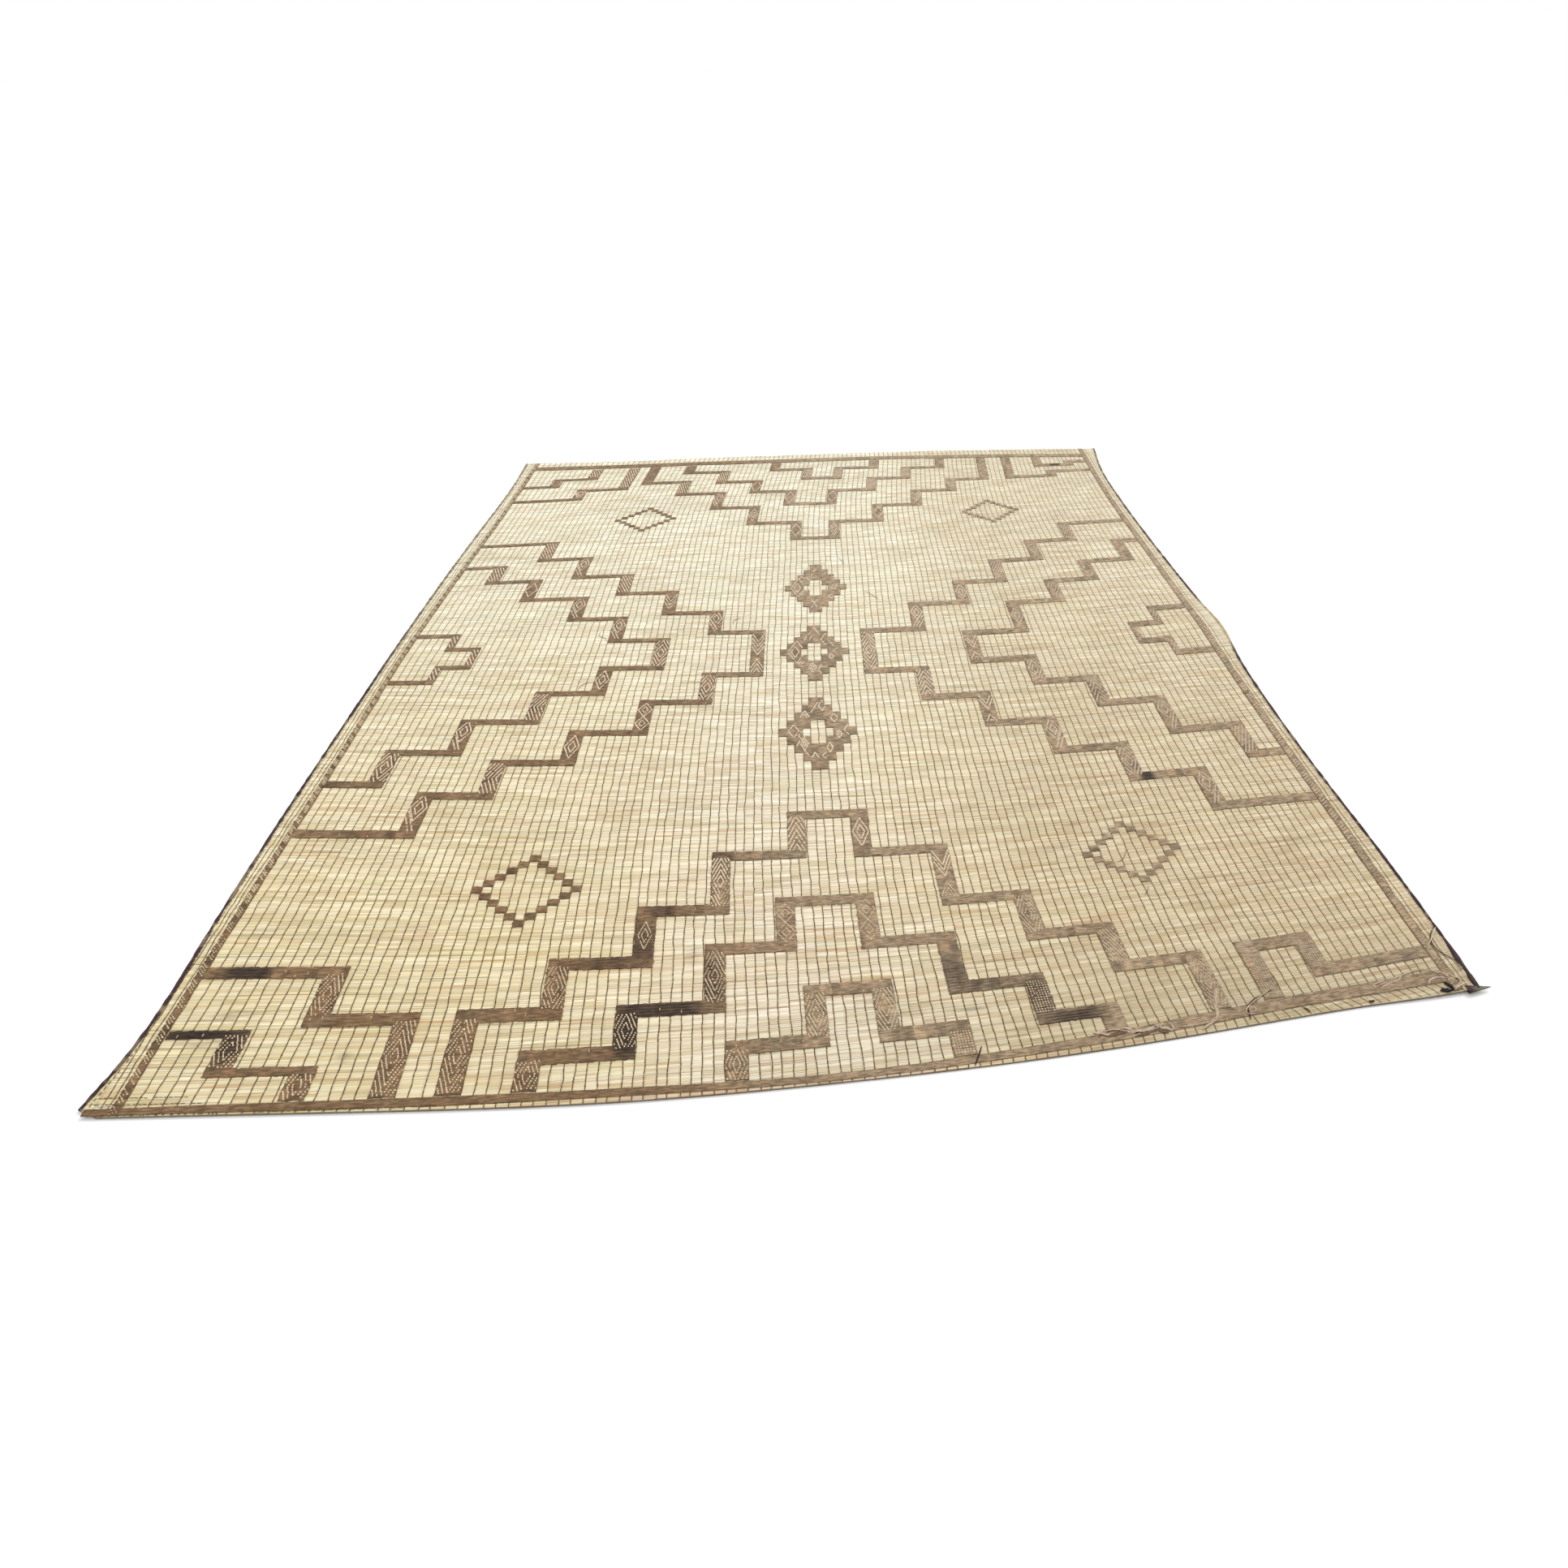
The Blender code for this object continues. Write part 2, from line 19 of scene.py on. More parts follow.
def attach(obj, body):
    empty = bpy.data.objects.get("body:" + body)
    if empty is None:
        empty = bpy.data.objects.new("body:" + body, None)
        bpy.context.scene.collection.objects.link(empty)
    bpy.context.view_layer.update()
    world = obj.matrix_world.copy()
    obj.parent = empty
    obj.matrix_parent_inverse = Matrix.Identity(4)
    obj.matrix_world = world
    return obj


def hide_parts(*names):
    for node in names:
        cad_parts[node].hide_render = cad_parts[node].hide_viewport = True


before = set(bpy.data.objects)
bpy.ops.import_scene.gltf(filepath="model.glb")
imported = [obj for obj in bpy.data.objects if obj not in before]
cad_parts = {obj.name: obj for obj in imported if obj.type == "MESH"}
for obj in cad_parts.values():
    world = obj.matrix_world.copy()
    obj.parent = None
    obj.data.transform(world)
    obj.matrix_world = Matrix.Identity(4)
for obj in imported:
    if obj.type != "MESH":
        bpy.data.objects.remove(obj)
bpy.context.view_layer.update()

log = logging.getLogger("tuareg_mat")

BODY = "root"
CHART_MAP = "chart"
TINT = "tint"

Colour = tuple[float, float, float]
Point = tuple[float, float]
Array = np.ndarray
Material = bpy.types.Material
Socket = bpy.types.NodeSocket

# Shared sizes: lengths in metres, thongs by their number from the middle
THONG_PITCH = 0.0248
THONGS_EACH_SIDE = 59
EDGE_THONG = 1.476
HALF_WIDTH = 1.495
NEAR_EDGE = -2.150
FAR_EDGE = 2.215
REED_TOP = 0.0050
REED_SURFACE = REED_TOP - 0.0002
LEATHER_BOTTOM = 0.0058
LEATHER_TOP = 0.0071
SIDE_GAP = 0.0015
BAND_ROW_WIDTH = 0.044
ROW_NARROWING = 0.0035
SIDE_BORDER_INNER_THONG = 58
SIDE_BORDER_OUTER_THONG = {-1: 58.66, 1: 58.85}
NEAR_BORDER_ROW = -2.120
NEAR_BORDER_CORNER = -1.502
NEAR_LEFT_CUT = 0.020
NEAR_LEFT_REACH = (1.490, 1.515)
NEAR_RIGHT_DROP = 0.008
NEAR_RIGHT_REACH = (1.15, 1.42)
FAR_BORDER_ROW = 2.125


class Drift(NamedTuple):
    """How far a row of the chart wanders, at five places across."""

    row: float
    at_left: float
    left_quarter: float
    middle: float
    right_quarter: float
    at_right: float


DRIFT_ACROSS = 1.5
DRIFT_BEYOND = 0.1
ROW_DRIFT = (
    Drift(-2.15, 0.020, -0.010, 0.010, 0.085, 0.195),
    Drift(-1.50, 0.070, 0.005, -0.020, 0.010, 0.085),
    Drift(-0.75, 0.070, 0.005, -0.035, -0.025, 0.040),
    Drift(0.00, 0.025, -0.005, -0.035, -0.020, 0.045),
    Drift(0.75, -0.035, -0.015, -0.025, 0.005, 0.085),
    Drift(1.50, -0.045, 0.015, 0.025, 0.055, 0.125),
    Drift(2.20, 0.095, 0.155, 0.150, 0.145, 0.175),
)
THONG_DRIFT = (
    Drift(-2.15, -0.045, 0.030, 0.025, 0.030, 0.000),
    Drift(-1.50, -0.045, -0.005, -0.005, -0.005, 0.000),
    Drift(-0.75, -0.040, -0.020, -0.020, -0.015, -0.005),
    Drift(0.00, -0.045, -0.010, -0.025, -0.020, 0.000),
    Drift(0.75, -0.025, -0.010, -0.015, -0.015, -0.005),
    Drift(1.50, 0.005, 0.010, 0.000, -0.005, -0.010),
    Drift(2.20, 0.020, 0.080, 0.065, 0.050, 0.010),
)


class EndWander(NamedTuple):
    """The unevenness of both ends and of their borders at one place across."""

    across: float
    near_edge: float
    far_edge: float
    near_border: float
    far_border: float
    near_width: float
    far_width: float


END_WANDER = (
    EndWander(-1.50, 0.020, 0.000, 0.000, 0.003, 0.016, 0.044),
    EndWander(-1.00, 0.012, -0.030, 0.000, -0.017, 0.022, 0.044),
    EndWander(-0.50, -0.002, -0.013, -0.008, -0.011, 0.022, 0.044),
    EndWander(0.00, -0.006, 0.014, -0.021, 0.014, 0.020, 0.046),
    EndWander(0.50, -0.013, 0.044, -0.012, 0.028, 0.029, 0.046),
    EndWander(1.00, -0.013, 0.034, 0.009, 0.016, 0.042, 0.044),
    EndWander(1.50, -0.028, 0.000, -0.004, -0.026, 0.050, 0.042),
)


class SideWander(NamedTuple):
    """The unevenness of both long edges at one place along."""

    along: float
    left_edge: float
    right_edge: float


SIDE_WANDER = (
    SideWander(-2.15, -0.018, 0.010),
    SideWander(-2.00, 0.003, 0.013),
    SideWander(-1.50, 0.004, 0.012),
    SideWander(-1.10, -0.002, 0.005),
    SideWander(-0.70, -0.002, 0.003),
    SideWander(-0.25, 0.005, 0.010),
    SideWander(0.00, 0.006, 0.028),
    SideWander(0.25, 0.005, 0.018),
    SideWander(0.75, 0.000, 0.005),
    SideWander(1.40, -0.004, 0.003),
    SideWander(1.95, 0.003, 0.011),
    SideWander(2.20, -0.004, 0.037),
)


class Shape(Enum):
    """The simple shapes that figures are made of, each as a few straight lines.

    A line is its start across and along, then its end across and along, in shares of the shape's
    half width and half length. A caret and a vee are placed by their tips, the others by their
    middles.
    """

    DIAMOND = ((-1, 0, 0, 1), (0, 1, 1, 0), (-1, 0, 0, -1), (0, -1, 1, 0))
    CARET = ((-1, -1, 0, 0), (0, 0, 1, -1))
    VEE = ((-1, 1, 0, 0), (0, 0, 1, 1))
    OPEN_RIGHT = ((-1, 0, 1, 1), (-1, 0, 1, -1))
    RISE = ((-1, -1, 1, 1),)
    FALL = ((-1, 1, 1, -1),)
    CROSS = ((-1, -1, 1, 1), (-1, 1, 1, -1))
    BAR = ((-1, 0, 1, 0),)


class Motif(NamedTuple):
    """One shape of a figure: where it lies and how far it reaches each way."""

    shape: Shape
    across: float
    along: float
    half_width: float
    half_length: float


class Figure(Enum):
    """The figures that pale reeds make on a lengthwise leather strip."""

    RINGS = "rings"
    RING = "ring"
    FILL = "fill"
    TWINS = "twins"
    CARETS = "carets"
    VEES = "vees"
    RISES = "rises"
    FALLS = "falls"
    RING_AND_FALLS = "ring_and_falls"
    RING_AND_RISES = "ring_and_rises"
    HOURGLASS = "hourglass"
    SIDEWAYS = "sideways"
    ROWS = "rows"
    PLAIN = "plain"


class Band(NamedTuple):
    """A stepped band: its lengthwise parts' thongs, its crosswise parts' rows and its figures."""

    name: str
    starts: str
    thongs: tuple[float, ...]
    rows: tuple[float, ...]
    figures: str
    strands: int = 2
    row_share: float = 1.0


BANDS = (
    Band("left_outer_band", "side", (-46, -39.2, -31, -23, -15.2, -8.4, -15.3, -23, -31, -39, -46),
         (-1.160, -0.960, -0.770, -0.585, -0.380, -0.180, 0.170, 0.355, 0.560, 0.750, 0.960, 1.160),
         "ring_and_falls sideways rings twins fill hourglass ring_and_falls vees falls"
         " ring_and_falls falls"),
    Band("left_inner_band", "side", (-52.3, -45, -37.2, -30, -22.8, -30, -37, -45.4, -52.3),
         (-0.900, -0.710, -0.510, -0.310, -0.120, 0.110, 0.315, 0.525, 0.725, 0.895),
         "fill ring_and_falls sideways rings fill ring_and_falls ring_and_falls ring falls"),
    Band("left_hook", "side", (-52.6, -48.8, -52.6), (-0.215, -0.095, 0.060, 0.185),
         "falls falls falls", 1),
    Band("right_outer_band", "side", (46, 38, 30.2, 22.7, 15.2, 8, 16, 23.8, 31, 38.6, 46.3),
         (-1.190, -0.985, -0.790, -0.590, -0.390, -0.180, 0.150, 0.375, 0.570, 0.775, 0.965, 1.150),
         "ring_and_rises fill ring_and_rises hourglass carets fill ring_and_rises rings rises"
         " ring_and_rises rises"),
    Band("right_inner_band", "side", (54, 46, 38.4, 31, 23.3, 31.4, 39, 46.2, 54.2),
         (-0.915, -0.725, -0.505, -0.320, -0.135, 0.095, 0.345, 0.530, 0.705, 0.905),
         "rises ring_and_rises carets fill hourglass rings ring_and_rises ring plain"),
    Band("right_hook", "side", (52.5, 48.2, 52.5), (-0.175, -0.065, 0.080, 0.205),
         "rises ring rises", 1),
    Band("near_outer_medallion", "end", (-34, -26.8, -18.9, -11.5, -3.2, 4, 12.4, 19.9, 27, 34.4),
         (-1.875, -1.710, -1.515, -1.280, -1.085, -1.285, -1.530, -1.710, -1.875),
         "fill fill rings fill carets rings hourglass fill falls fill"),
    Band("near_middle_medallion", "end", (-28, -20, -11.9, -4.8, 3.5, 10.9, 18.2, 24),
         (-2.010, -1.880, -1.675, -1.495, -1.685, -1.885, -2.030),
         "fill fill fill twins twins plain rows plain"),
    Band("near_inner_medallion", "end", (-10, -2.6, 3.8, 10), (-2.020, -1.850, -2.025),
         "fill fill fill rows"),
    Band("far_outer_medallion", "end", (-35, -27.2, -19.2, -11.5, -3.2, 3.8, 12.2, 19.8, 27.2, 34.4),
         (1.865, 1.705, 1.520, 1.320, 1.125, 1.315, 1.500, 1.675, 1.815),
         "plain falls ring_and_falls rings ring rings ring vees vees plain"),
    Band("far_middle_medallion", "end", (-27.8, -20.2, -12.6, -5.2, 3.2, 10.8, 17.8, 25.2),
         (1.985, 1.850, 1.715, 1.550, 1.710, 1.860, 2.000),
         "plain falls ring ring ring rises rises plain"),
    Band("far_inner_medallion", "end", (-10, -2.8, 3.6, 11), (2.005, 1.880, 2.015),
         "plain falls rises plain"),
    Band("near_left_outer_hook", "corner", (-46.5, -39), (-1.720, -1.875), "fill fill"),
    Band("near_left_inner_hook", "corner", (-52.3, -45.7), (-1.911, -2.020), "fill fill", 2, 0.70),
    Band("near_right_hook", "corner", (46.2, 40), (-2.010, -1.870), "rows rows"),
    Band("far_left_outer_hook", "corner", (-46.5, -39), (1.705, 1.810), "ring_and_falls falls"),
    Band("far_left_inner_hook", "corner", (-52.3, -46), (1.880, 1.960), "ring falls"),
    Band("far_right_outer_hook", "corner", (49.2, 40), (1.875, 1.815), "rises plain"),
    Band("far_right_inner_hook", "corner", (54, 47), (2.010, 1.970), "plain rises"),
)


class Diamond(NamedTuple):
    """A stepped diamond: the thong and row of its middle and the height of one course."""

    name: str
    thong: float
    row: float
    course: float


DIAMOND_HALF_WIDTHS = (1, 2, 3, 4, 5, 4, 3, 2, 1)
DIAMOND_GAP_HALF_WIDTHS = (1, 2, 1)
FILLED_DIAMONDS = (
    Diamond("near_filled_diamond", 0, -0.600, 0.0520),
    Diamond("middle_filled_diamond", 0, -0.015, 0.0500),
    Diamond("far_filled_diamond", 0.3, 0.575, 0.0530),
)
DIAMOND_MOTIFS = {
    "near_filled_diamond": (
        Motif(Shape.DIAMOND, -0.078, 0.005, 0.017, 0.042),
        Motif(Shape.DIAMOND, -0.052, -0.025, 0.011, 0.028),
        Motif(Shape.DIAMOND, -0.045, -0.078, 0.012, 0.040),
        Motif(Shape.DIAMOND, -0.045, -0.078, 0.005, 0.017),
        Motif(Shape.RISE, -0.066, -0.080, 0.008, 0.024),
        Motif(Shape.FALL, -0.041, -0.130, 0.008, 0.020),
        Motif(Shape.CARET, -0.013, -0.132, 0.012, 0.036),
        Motif(Shape.OPEN_RIGHT, 0.014, -0.155, 0.006, 0.018),
        Motif(Shape.DIAMOND, 0.034, -0.103, 0.009, 0.032),
        Motif(Shape.DIAMOND, 0.066, -0.020, 0.010, 0.025),
        Motif(Shape.DIAMOND, 0.066, -0.020, 0.004, 0.010),
        Motif(Shape.OPEN_RIGHT, 0.092, 0.007, 0.009, 0.042),
        Motif(Shape.DIAMOND, 0.054, 0.088, 0.012, 0.030),
        Motif(Shape.RISE, -0.008, 0.163, 0.012, 0.035),
        Motif(Shape.DIAMOND, 0.017, 0.173, 0.012, 0.037),
        Motif(Shape.CARET, -0.041, 0.140, 0.015, 0.042),
        Motif(Shape.CARET, -0.041, 0.118, 0.007, 0.020),
    ),
    "middle_filled_diamond": (
        Motif(Shape.DIAMOND, -0.064, 0.000, 0.032, 0.090),
        Motif(Shape.DIAMOND, -0.070, 0.000, 0.015, 0.045),
        Motif(Shape.VEE, -0.057, -0.098, 0.006, 0.020),
        Motif(Shape.VEE, -0.044, -0.098, 0.006, 0.020),
        Motif(Shape.CARET, 0.000, 0.205, 0.020, 0.062),
        Motif(Shape.RISE, -0.012, 0.118, 0.005, 0.016),
        Motif(Shape.RISE, -0.032, 0.112, 0.005, 0.016),
        Motif(Shape.OPEN_RIGHT, 0.034, 0.100, 0.009, 0.052),
        Motif(Shape.FALL, 0.062, 0.068, 0.008, 0.025),
        Motif(Shape.OPEN_RIGHT, 0.078, 0.002, 0.009, 0.030),
        Motif(Shape.DIAMOND, 0.061, -0.043, 0.009, 0.020),
        Motif(Shape.DIAMOND, -0.008, -0.128, 0.014, 0.038),
        Motif(Shape.DIAMOND, -0.008, -0.128, 0.006, 0.016),
        Motif(Shape.OPEN_RIGHT, 0.018, -0.145, 0.006, 0.040),
    ),
    "far_filled_diamond": (
        Motif(Shape.DIAMOND, -0.070, 0.000, 0.030, 0.092),
        Motif(Shape.DIAMOND, -0.074, 0.000, 0.014, 0.045),
        Motif(Shape.CARET, -0.058, 0.120, 0.012, 0.030),
        Motif(Shape.FALL, -0.030, 0.085, 0.008, 0.025),
        Motif(Shape.RISE, -0.010, 0.155, 0.010, 0.035),
        Motif(Shape.CROSS, -0.005, -0.158, 0.012, 0.040),
        Motif(Shape.RISE, 0.070, 0.010, 0.006, 0.020),
        Motif(Shape.RISE, 0.083, 0.010, 0.006, 0.020),
        Motif(Shape.DIAMOND, 0.062, -0.092, 0.011, 0.022),
    ),
}


RING_REACH = 5
RING_OVERLAP = 0.0010
OUTLINED_DIAMONDS = (
    Diamond("near_left_outlined_diamond", -31.5, -1.415, 0.0277),
    Diamond("near_right_outlined_diamond", 33.5, -1.375, 0.0280),
    Diamond("far_left_outlined_diamond", -31.5, 1.405, 0.0262),
    Diamond("far_right_outlined_diamond", 33.8, 1.370, 0.0266),
)


class LooseThong(NamedTuple):
    """A loose thong: the chart points that it passes."""

    name: str
    points: tuple[Point, ...]


LOOSE_THONGS = (
    LooseThong("loose_thong_border",
               ((0.540, -2.118), (0.582, -2.108), (0.626, -2.124), (0.668, -2.128), (0.702, -2.116))),
    LooseThong("loose_thong_hook",
               ((0.864, -2.013), (0.840, -2.070), (0.836, -2.112), (0.810, -2.130), (0.762, -2.135),
                (0.722, -2.130))),
    LooseThong("loose_thong_curl",
               ((0.997, -2.051), (0.953, -2.076), (0.917, -2.102), (0.905, -2.124), (0.927, -2.131))),
    LooseThong("loose_thong_loop",
               ((1.253, -2.116), (1.292, -2.105), (1.337, -2.090), (1.382, -2.082), (1.411, -2.092),
                (1.428, -2.116))),
)


def linear(red: float, green: float, blue: float) -> Colour:
    """Turn an sRGB colour into linear light.

    Args:
        red: how red it is, 0 to 255.
        green: how green it is.
        blue: how blue it is.

    Returns:
        The colour, 0 to 1.
    """
    shares = np.array((red, green, blue)) / 255
    light = np.where(shares <= 0.04045, shares / 12.92, ((shares + 0.055) / 1.055) ** 2.4)
    return tuple(float(share) for share in light)


class Tone(Enum):
    """The colours of stray ends."""

    BLACK = linear(24, 19, 17)
    DARK = linear(58, 45, 38)
    BROWN = linear(104, 84, 66)
    PINK = linear(180, 159, 138)
    GREEN_GREY = linear(116, 116, 96)
    PALE = linear(206, 192, 162)


class Stray(NamedTuple):
    """A short stray end of thong that lies on the mat: its width, its colour and its points."""

    width: float
    tone: Tone
    points: tuple[Point, ...]


STRAYS = (
    Stray(0.0120, Tone.PINK, ((0.538, -2.107), (0.553, -2.112), (0.566, -2.121), (0.579, -2.127))),
    Stray(0.0085, Tone.BROWN, ((0.544, -2.126), (0.556, -2.117), (0.568, -2.109), (0.580, -2.107))),
    Stray(0.0070, Tone.PINK, ((0.580, -2.107), (0.607, -2.107), (0.620, -2.113), (0.633, -2.124),
                              (0.653, -2.124), (0.667, -2.133))),
    Stray(0.0055, Tone.BLACK, ((0.628, -2.131), (0.637, -2.129), (0.648, -2.132))),
    Stray(0.0120, Tone.BROWN, ((0.668, -2.112), (0.684, -2.122), (0.690, -2.136), (0.706, -2.144))),
    Stray(0.0085, Tone.PINK, ((0.700, -2.110), (0.692, -2.124), (0.705, -2.130), (0.716, -2.141))),
    Stray(0.0052, Tone.PINK, ((0.713, -2.107), (0.719, -2.120), (0.720, -2.138))),
    Stray(0.0130, Tone.BROWN, ((0.552, -2.118), (0.574, -2.126), (0.600, -2.121), (0.632, -2.116))),
    Stray(0.0120, Tone.PINK, ((0.612, -2.122), (0.642, -2.127), (0.668, -2.121), (0.694, -2.114))),
    Stray(0.0090, Tone.BROWN, ((0.626, -2.142), (0.652, -2.137), (0.680, -2.131), (0.712, -2.136))),
    Stray(0.0090, Tone.PINK, ((0.867, -2.014), (0.857, -2.038), (0.842, -2.080), (0.838, -2.103),
                              (0.828, -2.124), (0.801, -2.142), (0.786, -2.152))),
    Stray(0.0060, Tone.DARK, ((0.993, -2.057), (0.953, -2.073), (0.935, -2.084), (0.917, -2.100),
                              (0.912, -2.114), (0.907, -2.146))),
    Stray(0.0050, Tone.PINK, ((0.917, -2.104), (0.929, -2.106), (0.931, -2.117), (0.922, -2.123))),
    Stray(0.0042, Tone.DARK, ((0.286, -2.101), (0.272, -2.135), (0.262, -2.158))),
    Stray(0.0070, Tone.PINK, ((1.249, -2.118), (1.252, -2.104), (1.280, -2.097))),
    Stray(0.0075, Tone.PINK, ((1.262, -2.122), (1.295, -2.109), (1.320, -2.103), (1.332, -2.088))),
    Stray(0.0070, Tone.PINK, ((1.415, -2.097), (1.432, -2.108), (1.443, -2.121), (1.446, -2.134))),
    Stray(0.0070, Tone.PINK, ((1.385, -2.143), (1.397, -2.128), (1.421, -2.125), (1.437, -2.134))),
    Stray(0.0100, Tone.BLACK, ((1.425, -2.148), (1.431, -2.158), (1.436, -2.168), (1.434, -2.180))),
    Stray(0.0100, Tone.BLACK, ((1.402, -2.172), (1.411, -2.173), (1.421, -2.177), (1.433, -2.177))),
    Stray(0.0060, Tone.DARK, ((1.409, -2.164), (1.417, -2.170), (1.427, -2.170))),
    Stray(0.0062, Tone.PINK, ((1.452, -2.126), (1.466, -2.140), (1.470, -2.152), (1.458, -2.164),
                              (1.440, -2.171))),
    Stray(0.0060, Tone.BLACK, ((1.213, -2.158), (1.220, -2.162), (1.227, -2.160))),
    Stray(0.0050, Tone.BROWN, ((1.047, -2.138), (1.053, -2.148), (1.058, -2.158))),
    Stray(0.0034, Tone.DARK, ((1.505, -1.906), (1.474, -1.952), (1.465, -1.992), (1.471, -2.029),
                              (1.490, -2.069), (1.491, -2.115))),
    Stray(0.0040, Tone.PALE, ((1.507, -1.913), (1.480, -1.952), (1.449, -1.994))),
    Stray(0.0036, Tone.PALE, ((1.440, -2.176), (1.460, -2.168), (1.480, -2.162))),
    Stray(0.0016, Tone.BROWN, ((-0.803, 0.190), (-0.808, 0.160), (-0.796, 0.140), (-0.780, 0.125),
                               (-0.772, 0.102))),
    Stray(0.0016, Tone.BROWN, ((-0.765, -0.235), (-0.792, -0.240), (-0.808, -0.262), (-0.815, -0.295))),
    Stray(0.0016, Tone.BROWN, ((-0.282, 0.292), (-0.300, 0.280), (-0.312, 0.262), (-0.310, 0.235))),
    Stray(0.0016, Tone.BROWN, ((0.106, 0.880), (0.118, 0.850), (0.126, 0.825), (0.120, 0.810))),
    Stray(0.0016, Tone.BROWN, ((0.206, 0.520), (0.226, 0.490), (0.244, 0.460), (0.256, 0.435))),
    Stray(0.0015, Tone.BROWN, ((0.818, -1.365), (0.806, -1.395), (0.792, -1.418), (0.775, -1.425))),
    Stray(0.0016, Tone.BROWN, ((0.086, 1.512), (0.100, 1.490), (0.098, 1.465), (0.108, 1.445))),
    Stray(0.0015, Tone.BROWN, ((0.830, -1.552), (0.822, -1.572), (0.810, -1.590))),
)


class StitchRun(NamedTuple):
    """A run of dark stitches: where it starts and ends, how far each leans and how many there are."""

    start: tuple[float, float]
    end: tuple[float, float]
    stitch: tuple[float, float]
    count: int
    width: float


STITCH_RUNS = (
    StitchRun((-1.494, -2.1250), (-1.260, -2.1290), (0.0065, -0.0085), 18, 0.0026),
    StitchRun((-1.487, -2.083), (-1.330, -2.086), (0.0080, -0.0008), 18, 0.0016),
    StitchRun((-1.487, -2.100), (-1.300, -2.103), (0.0080, -0.0008), 20, 0.0016),
    StitchRun((-1.180, -2.131), (-0.300, -2.139), (0.0110, -0.0004), 70, 0.0012),
)


class Mark(NamedTuple):
    """A stain or worn place: its middle, its reach across and along, and how much it darkens."""

    u: float
    v: float
    reach_u: float
    reach_v: float
    depth: float


LEATHER_MARKS = (
    Mark(-1.050, -2.122, 0.480, 0.014, 0.13),
    Mark(-1.345, -1.722, 0.050, 0.030, 0.55),
    Mark(-1.370, -1.908, 0.080, 0.035, 0.68),
    Mark(-1.300, -1.940, 0.030, 0.065, 0.48),
    Mark(-0.420, -1.885, 0.110, 0.030, 0.55),
    Mark(-0.490, -1.945, 0.035, 0.090, 0.66),
    Mark(-0.300, -1.790, 0.030, 0.090, 0.35),
    Mark(-0.545, -1.712, 0.055, 0.030, 0.30),
    Mark(-0.470, -1.640, 0.030, 0.080, 0.25),
    Mark(-0.430, -1.515, 0.040, 0.030, 0.28),
    Mark(0.450, -1.955, 0.035, 0.090, 0.42),
    Mark(0.510, -2.040, 0.080, 0.030, 0.45),
    Mark(0.330, -1.885, 0.080, 0.030, 0.30),
    Mark(0.268, -1.840, 0.030, 0.080, 0.34),
    Mark(0.975, -0.992, 0.022, 0.030, 0.60),
    Mark(0.950, -0.430, 0.035, 0.040, 0.28),
    Mark(1.255, 1.970, 0.030, 0.020, 0.60),
    Mark(-1.420, -0.905, 0.030, 0.030, 0.25),
    Mark(-0.280, -1.280, 0.035, 0.030, 0.25),
)
REED_MARKS = (
    Mark(-1.400, -2.115, 0.120, 0.018, 0.22),
    Mark(-1.350, -1.860, 0.070, 0.022, 0.20),
    Mark(-1.350, -1.690, 0.040, 0.018, 0.14),
    Mark(-1.330, -1.945, 0.070, 0.018, 0.14),
    Mark(0.955, -1.640, 0.035, 0.050, 0.13),
    Mark(0.690, -1.210, 0.030, 0.012, 0.16),
    Mark(0.280, -1.972, 0.050, 0.004, 0.45),
    Mark(0.900, -2.000, 0.050, 0.100, 0.10),
    Mark(1.300, -0.675, 0.100, 0.022, 0.16),
    Mark(0.770, -0.060, 0.060, 0.012, 0.14),
    Mark(0.700, 0.800, 0.180, 0.020, 0.10),
    Mark(0.480, -1.000, 0.120, 0.015, 0.12),
    Mark(-0.250, -0.435, 0.180, 0.012, 0.14),
    Mark(-0.120, 0.455, 0.014, 0.010, 0.35),
    Mark(-1.240, -0.280, 0.008, 0.012, 0.40),
    Mark(-0.880, 0.170, 0.008, 0.014, 0.45),
    Mark(-1.075, -1.990, 0.012, 0.014, 0.45),
    Mark(-0.345, -1.690, 0.010, 0.030, 0.35),
    Mark(0.180, 0.935, 0.006, 0.012, 0.45),
    Mark(0.390, 0.900, 0.008, 0.010, 0.30),
    Mark(0.560, 0.505, 0.050, 0.020, 0.16),
    Mark(-0.740, 0.005, 0.010, 0.012, 0.25),
    Mark(-1.370, -1.500, 0.006, 0.008, 0.35),
    Mark(1.245, -0.900, 0.008, 0.008, 0.35),
    Mark(0.910, -0.668, 0.008, 0.008, 0.35),
)


def cubic(
    first: Array,
    second: Array,
    first_slope: Array,
    second_slope: Array,
    span: Array,
    share: Array,
) -> Array:
    """Read a cubic between two stations from its value and its slope at each.

    Args:
        first: the value at the first station.
        second: the value at the second one.
        first_slope: the slope at the first station.
        second_slope: the slope at the second one.
        span: how far apart the stations are.
        share: how far along the span to read, 0 to 1.

    Returns:
        The cubic's value.
    """
    rise = share * share * (3 - 2 * share)
    return (
        first * (1 - rise)
        + second * rise
        + span * first_slope * share * (1 - share) ** 2
        - span * second_slope * share * share * (1 - share)
    )


